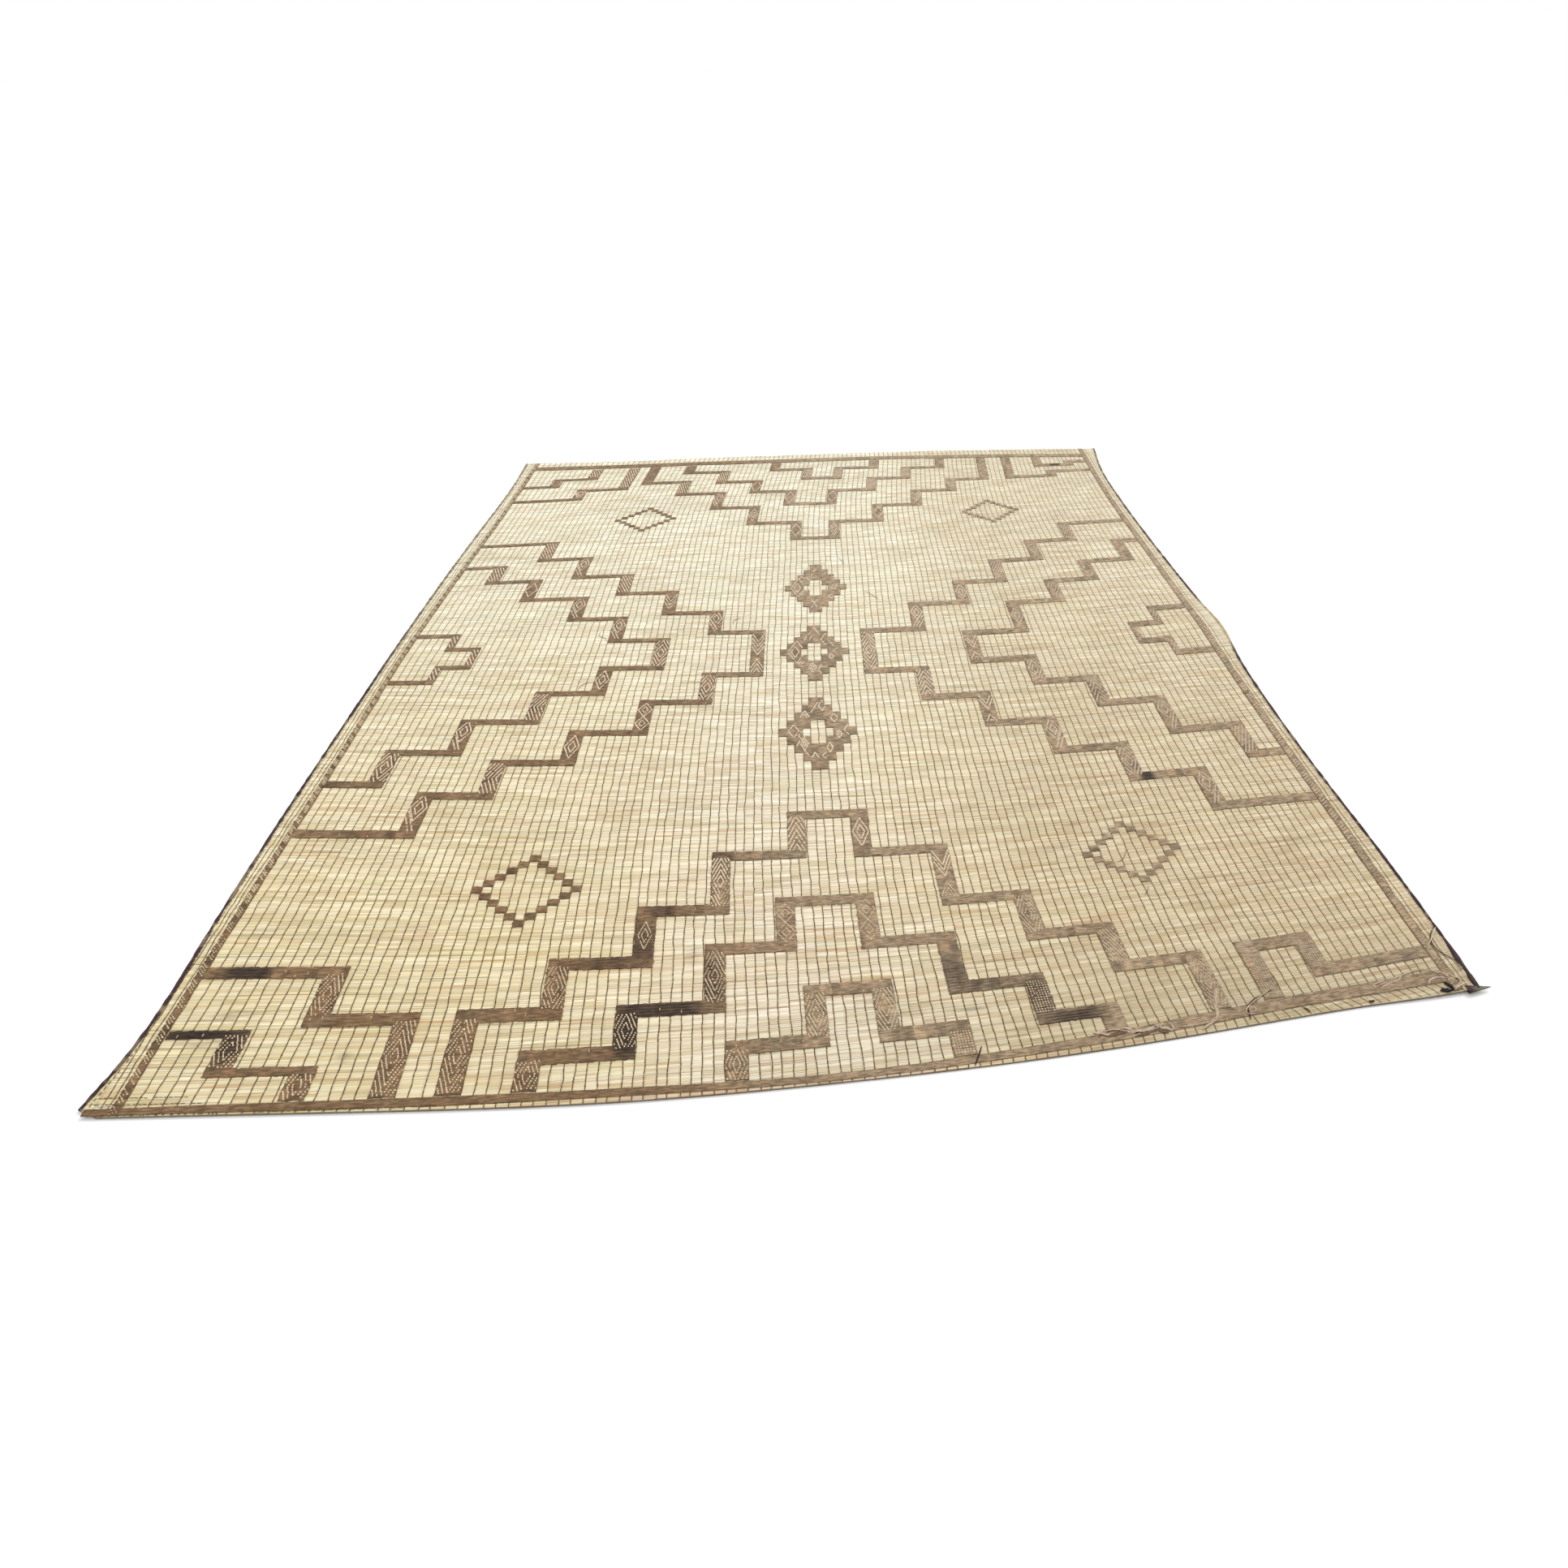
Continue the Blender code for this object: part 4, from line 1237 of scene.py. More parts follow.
@dataclass
class ReedField:
    """The field of reeds.

    Attributes:
        rows: how many lines of reeds carry the mesh.
        ridge: how far one line of reeds stands over the next, at most.
        pinch: how far the reeds are pressed in at a thong.
        unevenness: how much lighter and darker one reed is than the next.
        speckle: how uneven single places are, and whole rows, as shares of that.
        spread: how many stretches across a row have their own height and tone.
        under_rows: how many rows the plain underside has.
        under_painted_shades: how dark the painted shade makes it and the cut ends, near end and
            elsewhere.
        seed: the seed of its unevenness.
    """

    rows: int = 781
    ridge: float = 0.0006
    pinch: float = 0.0003
    unevenness: float = 0.050
    speckle: tuple[float, float] = (0.8, 0.5)
    spread: int = 25
    under_rows: int = 90
    under_painted_shades: tuple[float, float] = (0.30, 0.75)
    seed: int = 11

    def columns(self) -> Array:
        """Return the chart u of each thong, the two at the edges with them."""
        numbers = np.arange(-THONGS_EACH_SIDE, THONGS_EACH_SIDE + 1)
        return np.concatenate(([-EDGE_THONG], numbers * THONG_PITCH, [EDGE_THONG]))

    def chart_grid(self, shares: Array) -> tuple[Array, Array]:
        """Lay out a grid over the whole mat, from edge to edge.

        Each column runs from the near edge to the far one, and each row from the left edge to the
        right one, at the given shares of the length.

        Args:
            shares: how far along each row lies, 0 to 1.

        Returns:
            The chart u and v, one row of the grid a row.
        """
        middle = NEAR_EDGE + shares * (FAR_EDGE - NEAR_EDGE)
        inner = np.broadcast_to(self.columns(), (len(shares), len(self.columns())))
        u = np.column_stack((CHART.side_line(middle, -1), inner, CHART.side_line(middle, 1)))
        near = CHART.end_edge(u.ravel(), -1).reshape(u.shape)
        far = CHART.end_edge(u.ravel(), 1).reshape(u.shape)
        return u, near + shares[:, None] * (far - near)

    def build(self, material: Material) -> bpy.types.Object:
        """Build the field: rows of reeds of uneven width and height under a flat weave.

        Args:
            material: the reeds' material.

        Returns:
            The field's object.
        """
        random = np.random.default_rng(self.seed)
        widths = random.uniform(0.6, 1.4, self.rows - 1)
        shares = np.concatenate(([0.0], np.cumsum(widths) / widths.sum()))
        u, v = self.chart_grid(shares)
        columns = u.shape[1]
        stations = np.linspace(0, columns - 1, self.spread)
        spots = np.arange(columns)
        weights = np.array([np.interp(spots, stations, row) for row in np.eye(len(stations))])
        heights = random.uniform(-1.0, 1.0, (self.rows, len(stations))) @ weights
        tones = random.normal(0.0, 1.0, (self.rows, len(stations))) @ weights
        places = random.normal(0.0, self.speckle[0], (self.rows, columns))
        tones += places + random.normal(0.0, self.speckle[1], (self.rows, 1))
        z = REED_SURFACE + self.ridge * 0.5 * heights
        z[:, 1:-1] -= self.pinch
        flat_u, flat_v = u.ravel(), v.ravel()
        uneven = np.clip(1 + self.unevenness * tones.ravel(), 0.7, 1.12)
        stain = marked(flat_u, flat_v, REED_MARKS) * np.clip(0.8 - 0.5 * tones.ravel(), 0.0, 1.6)
        colours = reed_tint(flat_u, flat_v) * uneven[:, None]
        colours = np.clip(colours * (1 - stain)[:, None], 0.0, 0.95)
        sheet = Sheet.at(flat_u, flat_v, z.ravel(), grid_faces(self.rows, columns), colours)
        return build("reed_field", sheet, material, "reed", "reed_mat")

    def build_underside(self, material: Material) -> bpy.types.Object:
        """Build the plain underside and the cut ends of the reeds all round, darkened by painted shade.

        Args:
            material: the reeds' material.

        Returns:
            The underside's object.
        """
        shares = np.linspace(0.0, 1.0, self.under_rows)
        u, v = self.chart_grid(shares)
        rows, columns = u.shape
        faces = grid_faces(rows, columns)[:, ::-1]
        index = np.arange(rows * columns).reshape(rows, columns)
        rim = np.concatenate((index[0], index[1:, -1], index[-1, -2::-1], index[-2:0:-1, 0]))
        start = rows * columns + np.arange(len(rim))
        wall = np.column_stack((rim, np.roll(rim, -1), np.roll(start, -1), start))
        all_u = np.concatenate((u.ravel(), u.ravel()[rim]))
        all_v = np.concatenate((v.ravel(), v.ravel()[rim]))
        height = np.repeat((0.0, REED_SURFACE), (rows * columns, len(rim)))
        # Painted shade: the underside and the cut ends are darker, most of all at the near end.
        near_shade, far_shade = self.under_painted_shades
        shade = np.where(all_v < NEAR_EDGE / 2, near_shade, far_shade)
        colours = reed_tint(all_u, all_v) * shade[:, None]
        sheet = Sheet.at(all_u, all_v, height, np.vstack((faces, wall)), colours)
        return build("reed_underside", sheet, material, "reed")


@dataclass
class Thongs:
    """The thin thongs that bind the reeds, lengthwise.

    Attributes:
        width: how wide a thong is.
        rise: how far its beads stand over the reeds.
        rows: how many places along each carry the mesh.
        wander: how far a thong strays from its line, slowly and in small kinks.
        turns: how many turns it has of either kind.
        limit: how far it strays at most.
        inset: how far inside each end it stops.
        dip: how much narrower and lower it is between two reeds.
        mottle: how much lighter and darker it is from place to place.
        lean: how far the thongs lean outwards where the near right corner is dragged out.
        lean_from: the row where they start to lean.
        seed: the seed of its unevenness.
    """

    width: float = 0.0030
    rise: float = 0.0011
    rows: int = 560
    wander: tuple[float, float] = (0.0013, 0.0007)
    turns: tuple[int, int] = (60, 190)
    limit: float = 0.0034
    inset: float = 0.0010
    dip: float = 0.72
    mottle: float = 0.20
    lean: float = 0.65
    lean_from: float = -2.126
    seed: int = 23

    def build(self, name: str, first: int, last: int, material: Material) -> bpy.types.Object:
        """Build a run of thongs: ribbons that swell over each reed and dip between two.

        Args:
            name: the piece's name.
            first: the first thong's place among all of them, from the left.
            last: the one after the last.
            material: the thongs' material.

        Returns:
            The piece's object.
        """
        random = np.random.default_rng(self.seed + first)
        lines = ReedField().columns()[first:last]
        count = len(lines)
        near = CHART.end_edge(lines, -1) + self.inset
        far = CHART.end_edge(lines, 1) - self.inset
        shares = np.linspace(0.0, 1.0, self.rows)
        v = near[:, None] + shares * (far - near)[:, None]
        offsets = np.zeros((count, self.rows))
        for often, reach in zip(self.turns, self.wander):
            stations = np.linspace(0.0, 1.0, often)
            strays = random.normal(0.0, reach, (count, often))
            offsets += np.array([np.interp(shares, stations, row) for row in strays])
        offsets = np.clip(offsets, -self.limit, self.limit)
        dragged = self.lean * smooth_step(lines, 0.85, 1.15) * (1 - smooth_step(lines, 1.40, 1.46))
        offsets += dragged[:, None] * np.clip(self.lean_from - v, 0.0, 0.05)
        bead = np.where(np.arange(self.rows) % 2 == 0, 1.0, self.dip)
        half = self.width / 2 * bead * random.uniform(0.85, 1.15, (count, self.rows))
        across = np.array((-1.0, 0.0, 1.0))
        u = lines[:, None, None] + offsets[:, :, None] + half[:, :, None] * across
        z = REED_TOP - 0.0005 + (self.rise + 0.0003) * bead[None, :, None] * (1 - across**2)
        z = np.broadcast_to(z, u.shape)
        v = np.broadcast_to(v[:, :, None], u.shape)
        start = np.arange(count)[:, None] * self.rows * 3
        faces = (start[:, :, None] + grid_faces(self.rows, 3)[None]).reshape(-1, 4)
        flat_u, flat_v = u.ravel(), v.ravel()
        shade = 1 + self.mottle * random.normal(0.0, 1.0, (count, self.rows, 1)) * np.ones(3)
        shade = np.clip(shade.ravel(), 0.5, 1.5)
        # Painted haze light: the thongs grow paler towards the far end.
        paling = 0.80 * smooth_step(flat_v, -1.7, 0.8)
        colours = blend(TONES.thong, TONES.thong_far, paling) * shade[:, None]
        sheet = Sheet.at(flat_u, flat_v, z.ravel(), faces, colours)
        return build(name, sheet, material, "thong_leather")


class Box(NamedTuple):
    """A rectangle of the chart."""

    left: float
    right: float
    near: float
    far: float


@dataclass
class WovenLeather:
    """Leather strips woven in over and under the reeds, each a close grid of small raised cells.

    Attributes:
        cell_across: how wide a cell of the weave is.
        cell_along: how long a cell is.
        relief: how far a course stands over its neighbour.
        ragged: how far the outline strays.
        rim_drop: how far the outline is pressed down.
        foot: the height that the wall round the outline goes down to.
        foot_painted_shade: how dark the painted shade makes the wall there.
        patch: how long a patch of one tone is, along the mat.
        patch_tone: how much lighter and darker a patch is than the next.
        patch_warmth: how much redder or bluer it is.
        course_tone: how much lighter and darker a course is in one patch.
        row_tone: the same for a course as a whole.
        seed: the seed of its unevenness.
    """

    cell_across: float = 0.0062
    cell_along: float = 0.0055
    relief: float = 0.00026
    ragged: float = 0.0008
    rim_drop: float = 0.0003
    foot: float = LEATHER_BOTTOM - 0.0006
    foot_painted_shade: float = 0.8
    patch: float = 0.05
    patch_tone: float = 0.13
    patch_warmth: float = 0.020
    course_tone: float = 0.09
    row_tone: float = 0.04
    seed: int = 37

    def lines(self, edges: Sequence[float], step: float) -> Array:
        """Return grid lines through all the edges, at most a step apart.

        Args:
            edges: places that each need a line.
            step: the largest distance between two lines.

        Returns:
            The lines, in rising order.
        """
        edges = np.unique(np.round(edges, 6))
        runs = []
        for low, high in zip(edges, edges[1:]):
            count = max(1, math.ceil((high - low) / step - 1e-6))
            runs.append(np.linspace(low, high, count, endpoint=False))
        return np.concatenate(runs + [edges[-1:]])

    def grid(self, boxes: Sequence[Box], holes: Sequence[Box] = ()) -> tuple[Array, ...]:
        """Lay a grid over all the boxes and keep the cells that lie in one of them and in no hole.

        Args:
            boxes: the rectangles that leather covers.
            holes: the rectangles that stay open.

        Returns:
            The chart u and v of the kept points, their column and row, and the kept faces.
        """
        every = list(boxes) + list(holes)
        sides = [edge for box in every for edge in (box.left, box.right)]
        u_lines = self.lines(sides, self.cell_across)
        ends = [edge for box in every for edge in (box.near, box.far)]
        v_lines = self.lines(ends, self.cell_along)
        mid_u = (u_lines[1:] + u_lines[:-1]) / 2
        mid_v = (v_lines[1:] + v_lines[:-1]) / 2
        keep = np.zeros((len(mid_v), len(mid_u)), bool)
        for group, kept in ((boxes, True), (holes, False)):
            for box in group:
                inside_u = (mid_u > box.left) & (mid_u < box.right)
                inside_v = (mid_v > box.near) & (mid_v < box.far)
                keep[np.ix_(inside_v, inside_u)] = kept
        faces = grid_faces(len(v_lines), len(u_lines))[keep.ravel()]
        used, inverse = np.unique(faces, return_inverse=True)
        row, column = np.divmod(used, len(u_lines))
        return u_lines[column], v_lines[row], column, row, inverse.reshape(-1, 4)

    def skirt(self, faces: Array, count: int) -> tuple[Array, Array]:
        """Find a grid's rim and make the faces of a wall that hangs from it.

        An edge lies on the rim where no other face runs along it the other way.

        Args:
            faces: the grid's faces, all the same way round.
            count: how many points the grid has.

        Returns:
            The points on the rim, and the wall's faces, with the wall's lower points numbered on.
        """
        starts = faces.ravel()
        ends = np.roll(faces, -1, axis=1).ravel()
        alone = ~np.isin(starts * count + ends, ends * count + starts)
        starts, ends = starts[alone], ends[alone]
        rim, places = np.unique(np.concatenate((starts, ends)), return_inverse=True)
        low_start, low_end = count + places[: len(starts)], count + places[len(starts):]
        return rim, np.column_stack((starts, low_start, low_end, ends))

    def walled(self, u: Array, v: Array, z: Array, faces: Array, rim: Array,
               wall: Array, colours: Array) -> Sheet:
        """Make the mesh of a grid of leather with a wall from its rim down to the reeds, darker at its
        foot as painted shade.

        Args:
            u: the grid's chart places across.
            v: its chart places along.
            z: its heights.
            faces: its faces.
            rim: the points on its rim.
            wall: the wall's faces.
            colours: the grid's colours.

        Returns:
            The mesh.
        """
        # Painted shade: the wall's lower points are darker than the leather above.
        return Sheet.at(
            np.concatenate((u, u[rim])),
            np.concatenate((v, v[rim])),
            np.concatenate((z, np.full(len(rim), self.foot))),
            np.vstack((faces, wall)),
            np.vstack((colours, colours[rim] * self.foot_painted_shade)),
        )

    def sheet(self, boxes: Sequence[Box], holes: Sequence[Box], salt: int) -> Sheet:
        """Make the leather's mesh.

        Neighbouring courses stand a little higher and lower in turn, and so do neighbouring cells
        in a course. The outline is a little ragged, and a wall goes down from it to the reeds.

        Args:
            boxes: the rectangles that leather covers.
            holes: the rectangles that stay open.
            salt: a number that makes this strip's unevenness its own.

        Returns:
            The mesh.
        """
        random = np.random.default_rng(self.seed + salt)
        u, v, column, row, faces = self.grid(boxes, holes)
        rim, wall = self.skirt(faces, len(u))
        z = LEATHER_TOP - self.relief + self.relief * np.where(row % 2 == 0, 1.0, -0.4)
        z -= self.relief * 0.6 * ((column + row) % 2)
        z[rim] -= self.rim_drop
        u[rim] += random.normal(0.0, self.ragged, len(rim))
        v[rim] += random.normal(0.0, self.ragged, len(rim))
        cell = np.floor(u / THONG_PITCH).astype(int) - int(np.floor(u.min() / THONG_PITCH))
        course = np.floor(v / self.patch).astype(int) - int(np.floor(v.min() / self.patch))
        size = (cell.max() + 1, course.max() + 1)
        patches = random.normal(0.0, self.patch_tone, size)
        warmth = random.normal(0.0, self.patch_warmth, size)[cell, course]
        courses = random.normal(0.0, self.course_tone, (cell.max() + 1, row.max() + 1))
        rows = random.normal(0.0, self.row_tone, row.max() + 1)
        patchy = patches[cell, course] + courses[cell, row] + rows[row]
        stain = marked(u, v, LEATHER_MARKS)
        colours = leather_tint(u, v) * np.clip(1 + patchy, 0.6, 1.4)[:, None]
        colours = colours * (1 + warmth[:, None] * (1.0, -0.2, -1.0))
        dark = np.clip(stain * (1.3 + 0.9 * (row % 2)), 0.0, 0.95)[:, None]
        colours = colours * (1 - dark) + np.asarray(TONES.leather_dark) * dark
        return self.walled(u, v, z, faces, rim, wall, colours)

    def build(self, name: str, boxes: Sequence[Box], holes: Sequence[Box],
              material: Material) -> bpy.types.Object:
        """Build the leather that stands for one solid."""
        sheet = self.sheet(boxes, holes, sum(ord(letter) for letter in name))
        return build(name + "_weave", sheet, material, "brown_leather", name)


@dataclass
class StepLayout:
    """Works out the rectangles of the stepped figures from their short tables.

    Attributes:
        gap: the gap that is left beside a border.
        clear: how far a figure stays from the middle line of a crosswise part.
        drawn_in: how far the leather stops short of a crosswise part's near side.
        frayed: how far it stops short of the far side, at the chart's middle.
        frayed_across: how much less that is for each metre to the right.
    """

    gap: float = 2 * SIDE_GAP
    clear: float = 0.011
    drawn_in: float = 0.0010
    frayed: float = 0.0055
    frayed_across: float = 0.0045

    def path(self, band: Band) -> list[Point]:
        """Work out a band's middle line, which turns at every step.

        Args:
            band: the band.

        Returns:
            The chart points where it starts, turns and ends.
        """
        end = 1 if sum(band.rows) > 0 else -1
        side = 1 if band.thongs[0] > 0 else -1
        across = [thong * THONG_PITCH for thong in band.thongs]
        side_u = side * (SIDE_BORDER_INNER_THONG * THONG_PITCH - self.gap)
        ends = CHART.border_line(np.array((across[0], across[-1])), end, True) - end * self.gap
        first_row, last_row = ends.tolist()
        turns: list[Point] = []
        if band.starts == "end":
            for u, after, row in zip(across, across[1:], band.rows):
                turns += [(u, row), (after, row)]
            return [(across[0], first_row)] + turns + [(across[-1], last_row)]
        turns.append((across[0], band.rows[0]))
        for u, after, row in zip(across, across[1:] + [side_u], band.rows[1:]):
            turns += [(u, row), (after, row)]
        path = [(side_u, band.rows[0])] + turns
        return path if band.starts == "side" else path + [(across[-1], last_row)]

    def boxes(self, band: Band) -> tuple[list[Box], list[Box]]:
        """Return a band's crosswise and lengthwise rectangles.

        Each part of the middle line is widened by half its width, and reaches as far past a corner
        as the part that it meets there is wide. The crosswise parts' leather doesn't quite fill
        their width, least of all at the left.

        Args:
            band: the band.

        Returns:
            The crosswise rectangles and the lengthwise ones.
        """
        path = self.path(band)
        half_strands = band.strands * THONG_PITCH / 2
        frayed = self.frayed - self.frayed_across * float(np.mean([u for u, _ in path]))
        crosswise, lengthwise = [], []
        last = len(path) - 2
        for place, ((u, v), (after_u, after_v)) in enumerate(zip(path, path[1:])):
            half_row = band.row_share * (BAND_ROW_WIDTH - ROW_NARROWING * after_v) / 2
            half_before = band.row_share * (BAND_ROW_WIDTH - ROW_NARROWING * v) / 2
            first_reach, last_reach = float(place > 0), float(place < last)
            if abs(u - after_u) > abs(v - after_v):
                reach = math.copysign(half_strands, after_u - u)
                ends = (u - reach * first_reach, after_u + reach * last_reach)
                near, far = v - half_row + self.drawn_in, v + half_row - frayed
                crosswise.append(Box(min(ends), max(ends), near, far))
            else:
                way = math.copysign(1.0, after_v - v)
                ends = (v - way * first_reach * half_before, after_v + way * last_reach * half_row)
                near, far = min(ends) + self.drawn_in, max(ends) - frayed
                lengthwise.append(Box(u - half_strands, u + half_strands, near, far))
        return crosswise, lengthwise

    def rooms(self, band: Band) -> list[Box]:
        """Return the part of each lengthwise rectangle that its figure has to itself.

        It stops short of each crosswise part's middle line, and nearly reaches an end border.

        Args:
            band: the band.

        Returns:
            One rectangle for each lengthwise part.
        """
        path = self.path(band)
        half_strands = band.strands * THONG_PITCH / 2
        last = len(path) - 2
        made = []
        for place, ((u, v), (after_u, after_v)) in enumerate(zip(path, path[1:])):
            if abs(u - after_u) > abs(v - after_v):
                continue
            way = math.copysign(1.0, after_v - v)
            start = v + way * (self.clear if place > 0 else self.gap)
            end = after_v - way * (self.clear if place < last else self.gap)
            made.append(Box(u - half_strands, u + half_strands, min(start, end), max(start, end)))
        return made

    def courses(self, diamond: Diamond, half_widths: Sequence[float], ease: float = 0.0) -> list[Box]:
        """Return a stepped diamond's courses, one rectangle each.

        Args:
            diamond: the diamond.
            half_widths: half the width of each course, in thongs, from the near one on.
            ease: how much wider each course is made on each side.

        Returns:
            The rectangles, stacked evenly about the diamond's row.
        """
        middle = diamond.thong * THONG_PITCH
        start = diamond.row - len(half_widths) / 2 * diamond.course
        return [
            Box(middle - half * THONG_PITCH - ease, middle + half * THONG_PITCH + ease,
                start + step * diamond.course, start + (step + 1) * diamond.course)
            for step, half in enumerate(half_widths)
        ]


@dataclass
class PaleFigures:
    """The pale reeds that cross over the leather in figures, each line a row of small raised pads.

    Attributes:
        ring: how much wider each nested ring is on each side than the one within it.
        close_ring: the same for the closer rings towards the near end.
        steep: how many times longer than wide a ring is, and how steeply all lines run.
        line: how far apart a line's pads are, half their width and half their length.
        close_line: the same for the closer lines towards the near end.
        dot: the same for the separate dots there.
        close_before: the row before which rings are closer and rising lines are made of dots.
        margin: how far from a strip's sides the figures stay.
        rise: how far a pad's middle stands over the leather.
        seed: the seed of its unevenness.
    """

    ring: float = 0.0114
    close_ring: float = 0.0086
    steep: float = 3.1
    line: tuple[float, float, float] = (0.0056, 0.00195, 0.00300)
    close_line: tuple[float, float, float] = (0.0066, 0.00135, 0.00290)
    dot: tuple[float, float, float] = (0.0068, 0.00145, 0.00210)
    close_before: float = -1.45
    margin: float = 0.0018
    rise: float = 0.0006
    seed: int = 53

    def nest(self, ring: float, first: int, last: int, across: float = 0.0,
             along: float = 0.0) -> list[Motif]:
        """Return nested diamonds.

        Args:
            ring: how much wider each ring is on each side than the one within it.
            first: the number of the first ring, counted from the innermost, which is 1.
            last: the number of the last ring.
            across: where the middle lies across the strip.
            along: where it lies along the strip.

        Returns:
            The diamonds.
        """
        sizes = [number * ring for number in range(first, last + 1)]
        return [Motif(Shape.DIAMOND, across, along, size, size * self.steep) for size in sizes]

    def row(self, shape: Shape, half: float, low: float, high: float, pitch: float) -> list[Motif]:
        """Return one shape again and again along a strip, as wide as its room."""
        rows = np.arange(low, high, pitch)
        return [Motif(shape, 0.0, row, half, half * self.steep) for row in rows]

    def motifs(self, figure: Figure, half: float, reach: float, ring: float) -> list[Motif]:
        """Return the shapes of a strip's figure.

        Args:
            figure: the figure.
            half: half the room's width.
            reach: half the room's length.
            ring: how much wider each ring is on each side than the one within it.

        Returns:
            The shapes, placed from the room's middle.
        """
        tall = half * self.steep
        pitch = ring * self.steep
        slants = (half, -reach - tall, reach + tall, pitch)
        within = int(half / ring)
        every = int((reach / self.steep + half) / ring)
        cross = -reach * 0.27
        above = self.nest(ring, 1, within, 0.0, reach * 0.35)
        below = (half, -reach, -reach * 0.30, pitch)
        twins = [Motif(Shape.DIAMOND, 0.0, place * reach / 2, half * size, reach / 2 * size)
                 for place in (-1, 1) for size in (0.45, 1.0)]
        rows = [Motif(Shape.BAR, 0.0, along, half, 0.0) for along in np.arange(-reach, reach, ring)]
        shapes = {
            Figure.RINGS: self.nest(ring, 1, within),
            Figure.RING: self.nest(ring, within, within),
            Figure.FILL: self.nest(ring, 1, every),
            Figure.TWINS: twins,
            Figure.CARETS: self.row(Shape.CARET, half, -reach, reach + tall, pitch),
            Figure.VEES: self.row(Shape.VEE, half, -reach * 0.7, reach * 0.4, pitch),
            Figure.RISES: self.row(Shape.RISE, *slants),
            Figure.FALLS: self.row(Shape.FALL, *slants),
            Figure.RING_AND_FALLS: above + self.row(Shape.FALL, *below),
            Figure.RING_AND_RISES: above + self.row(Shape.RISE, *below),
            Figure.HOURGLASS: self.row(Shape.VEE, half, cross + pitch / 2, reach * 0.5, pitch)
            + self.row(Shape.CARET, half, cross - pitch / 2, -reach - tall, -pitch),
            Figure.SIDEWAYS: self.nest(ring, 1, every + within, half),
            Figure.ROWS: rows,
            Figure.PLAIN: [],
        }
        return shapes[figure]

    def lines(self, motifs: Sequence[Motif], u: float, v: float) -> Array:
        """Return the shapes' lines on the chart.

        Args:
            motifs: the shapes.
            u: the chart place across that they are placed from.
            v: the chart place along.

        Returns:
            The start and the end of each line, each with its u and v.
        """
        placed = [np.zeros((0, 2, 2))]
        for motif in motifs:
            shape = np.array(motif.shape.value, float).reshape(-1, 2, 2)
            shape = shape * (motif.half_width, motif.half_length)
            placed.append(shape + (u + motif.across, v + motif.along))
        return np.concatenate(placed)

    def pads(self, lines: Array) -> Array:
        """Lay pads along lines.

        Each line is shared out evenly among as many pads as fit at their distance. Towards the near
        end the rising and the level lines are made of separate dots, which point along the mat.

        Args:
            lines: the start and the end of each line.

        Returns:
            A row for each pad: its u and v, its heading across and along, half its width and half
            its length.
        """
        start, reach = lines[:, 0], lines[:, 1] - lines[:, 0]
        length = np.linalg.norm(reach, axis=1)
        close = start[:, 1] < self.close_before
        dotted = close & (reach[:, 0] * reach[:, 1] >= 0)
        kind = np.where(close[:, None], self.close_line, self.line)
        kind = np.where(dotted[:, None], self.dot, kind)
        count = np.maximum(1, np.round(length / kind[:, 0])).astype(int)
        line = np.repeat(np.arange(len(lines)), count)
        place = np.arange(count.sum()) - np.repeat(np.cumsum(count) - count, count)
        middle = start[line] + reach[line] * ((place + 0.5) / count[line])[:, None]
        heading = np.where(dotted[:, None], (0.0, 1.0), reach / length[:, None])
        return np.column_stack((middle, heading[line], kind[line, 1:]))

    def within(self, pads: Array, box: Box, margin: float = 0.0) -> Array:
        """Tell which pads lie inside a rectangle, at least a margin from its sides."""
        inside_u = (pads[:, 0] > box.left + margin) & (pads[:, 0] < box.right - margin)
        return inside_u & (pads[:, 1] > box.near) & (pads[:, 1] < box.far)

    def strip(self, room: Box, figure: Figure) -> Array:
        """Lay the pads of one lengthwise strip's figure.

        Args:
            room: the part of the strip that the figure has to itself.
            figure: the figure.

        Returns:
            The pads that lie inside the room.
        """
        half = (room.right - room.left) / 2 - self.margin
        reach = (room.far - room.near) / 2
        ring = self.close_ring if room.near < self.close_before else self.ring
        motifs = self.motifs(figure, half, reach, ring)
        u, v = (room.left + room.right) / 2, (room.near + room.far) / 2
        pads = self.pads(self.lines(motifs, u, v))
        return pads[self.within(pads, room, self.margin)]

    def sheet(self, pads: Array, salt: int, first: Colour, second: Colour,
              missing: float = 0.08) -> Sheet:
        """Make the pads' mesh: a low four-sided point over each pad's middle.

        Args:
            pads: the pads.
            salt: a number that makes this piece's unevenness its own.
            first: the pads' colour at the near end.
            second: their colour from the middle on.
            missing: the share of pads that are left out, as if worn away.

        Returns:
            The mesh.
        """
        random = np.random.default_rng(self.seed + salt)
        pads = pads[random.uniform(size=len(pads)) > missing]
        count = len(pads)
        heading = pads[:, 2:4]
        sideways = np.column_stack((heading[:, 1], -heading[:, 0]))
        corners = np.array(((-1, -1), (1, -1), (1, 1), (-1, 1), (0, 0)), float)
        sizes = corners[None] * (pads[:, 4:] * random.uniform(0.80, 1.15, (count, 2)))[:, None]
        places = pads[:, None, :2] + random.normal(0.0, 0.0003, (count, 1, 2))
        places = places + sizes[..., :1] * sideways[:, None] + sizes[..., 1:] * heading[:, None]
        heights = np.where(np.arange(5) == 4, LEATHER_TOP + self.rise, LEATHER_TOP)
        z = np.broadcast_to(heights, (count, 5))
        start = np.arange(count)[:, None, None] * 5
        sides = np.array(((0, 1, 4), (1, 2, 4), (2, 3, 4), (3, 0, 4)))
        u, v = places[..., 0].ravel(), places[..., 1].ravel()
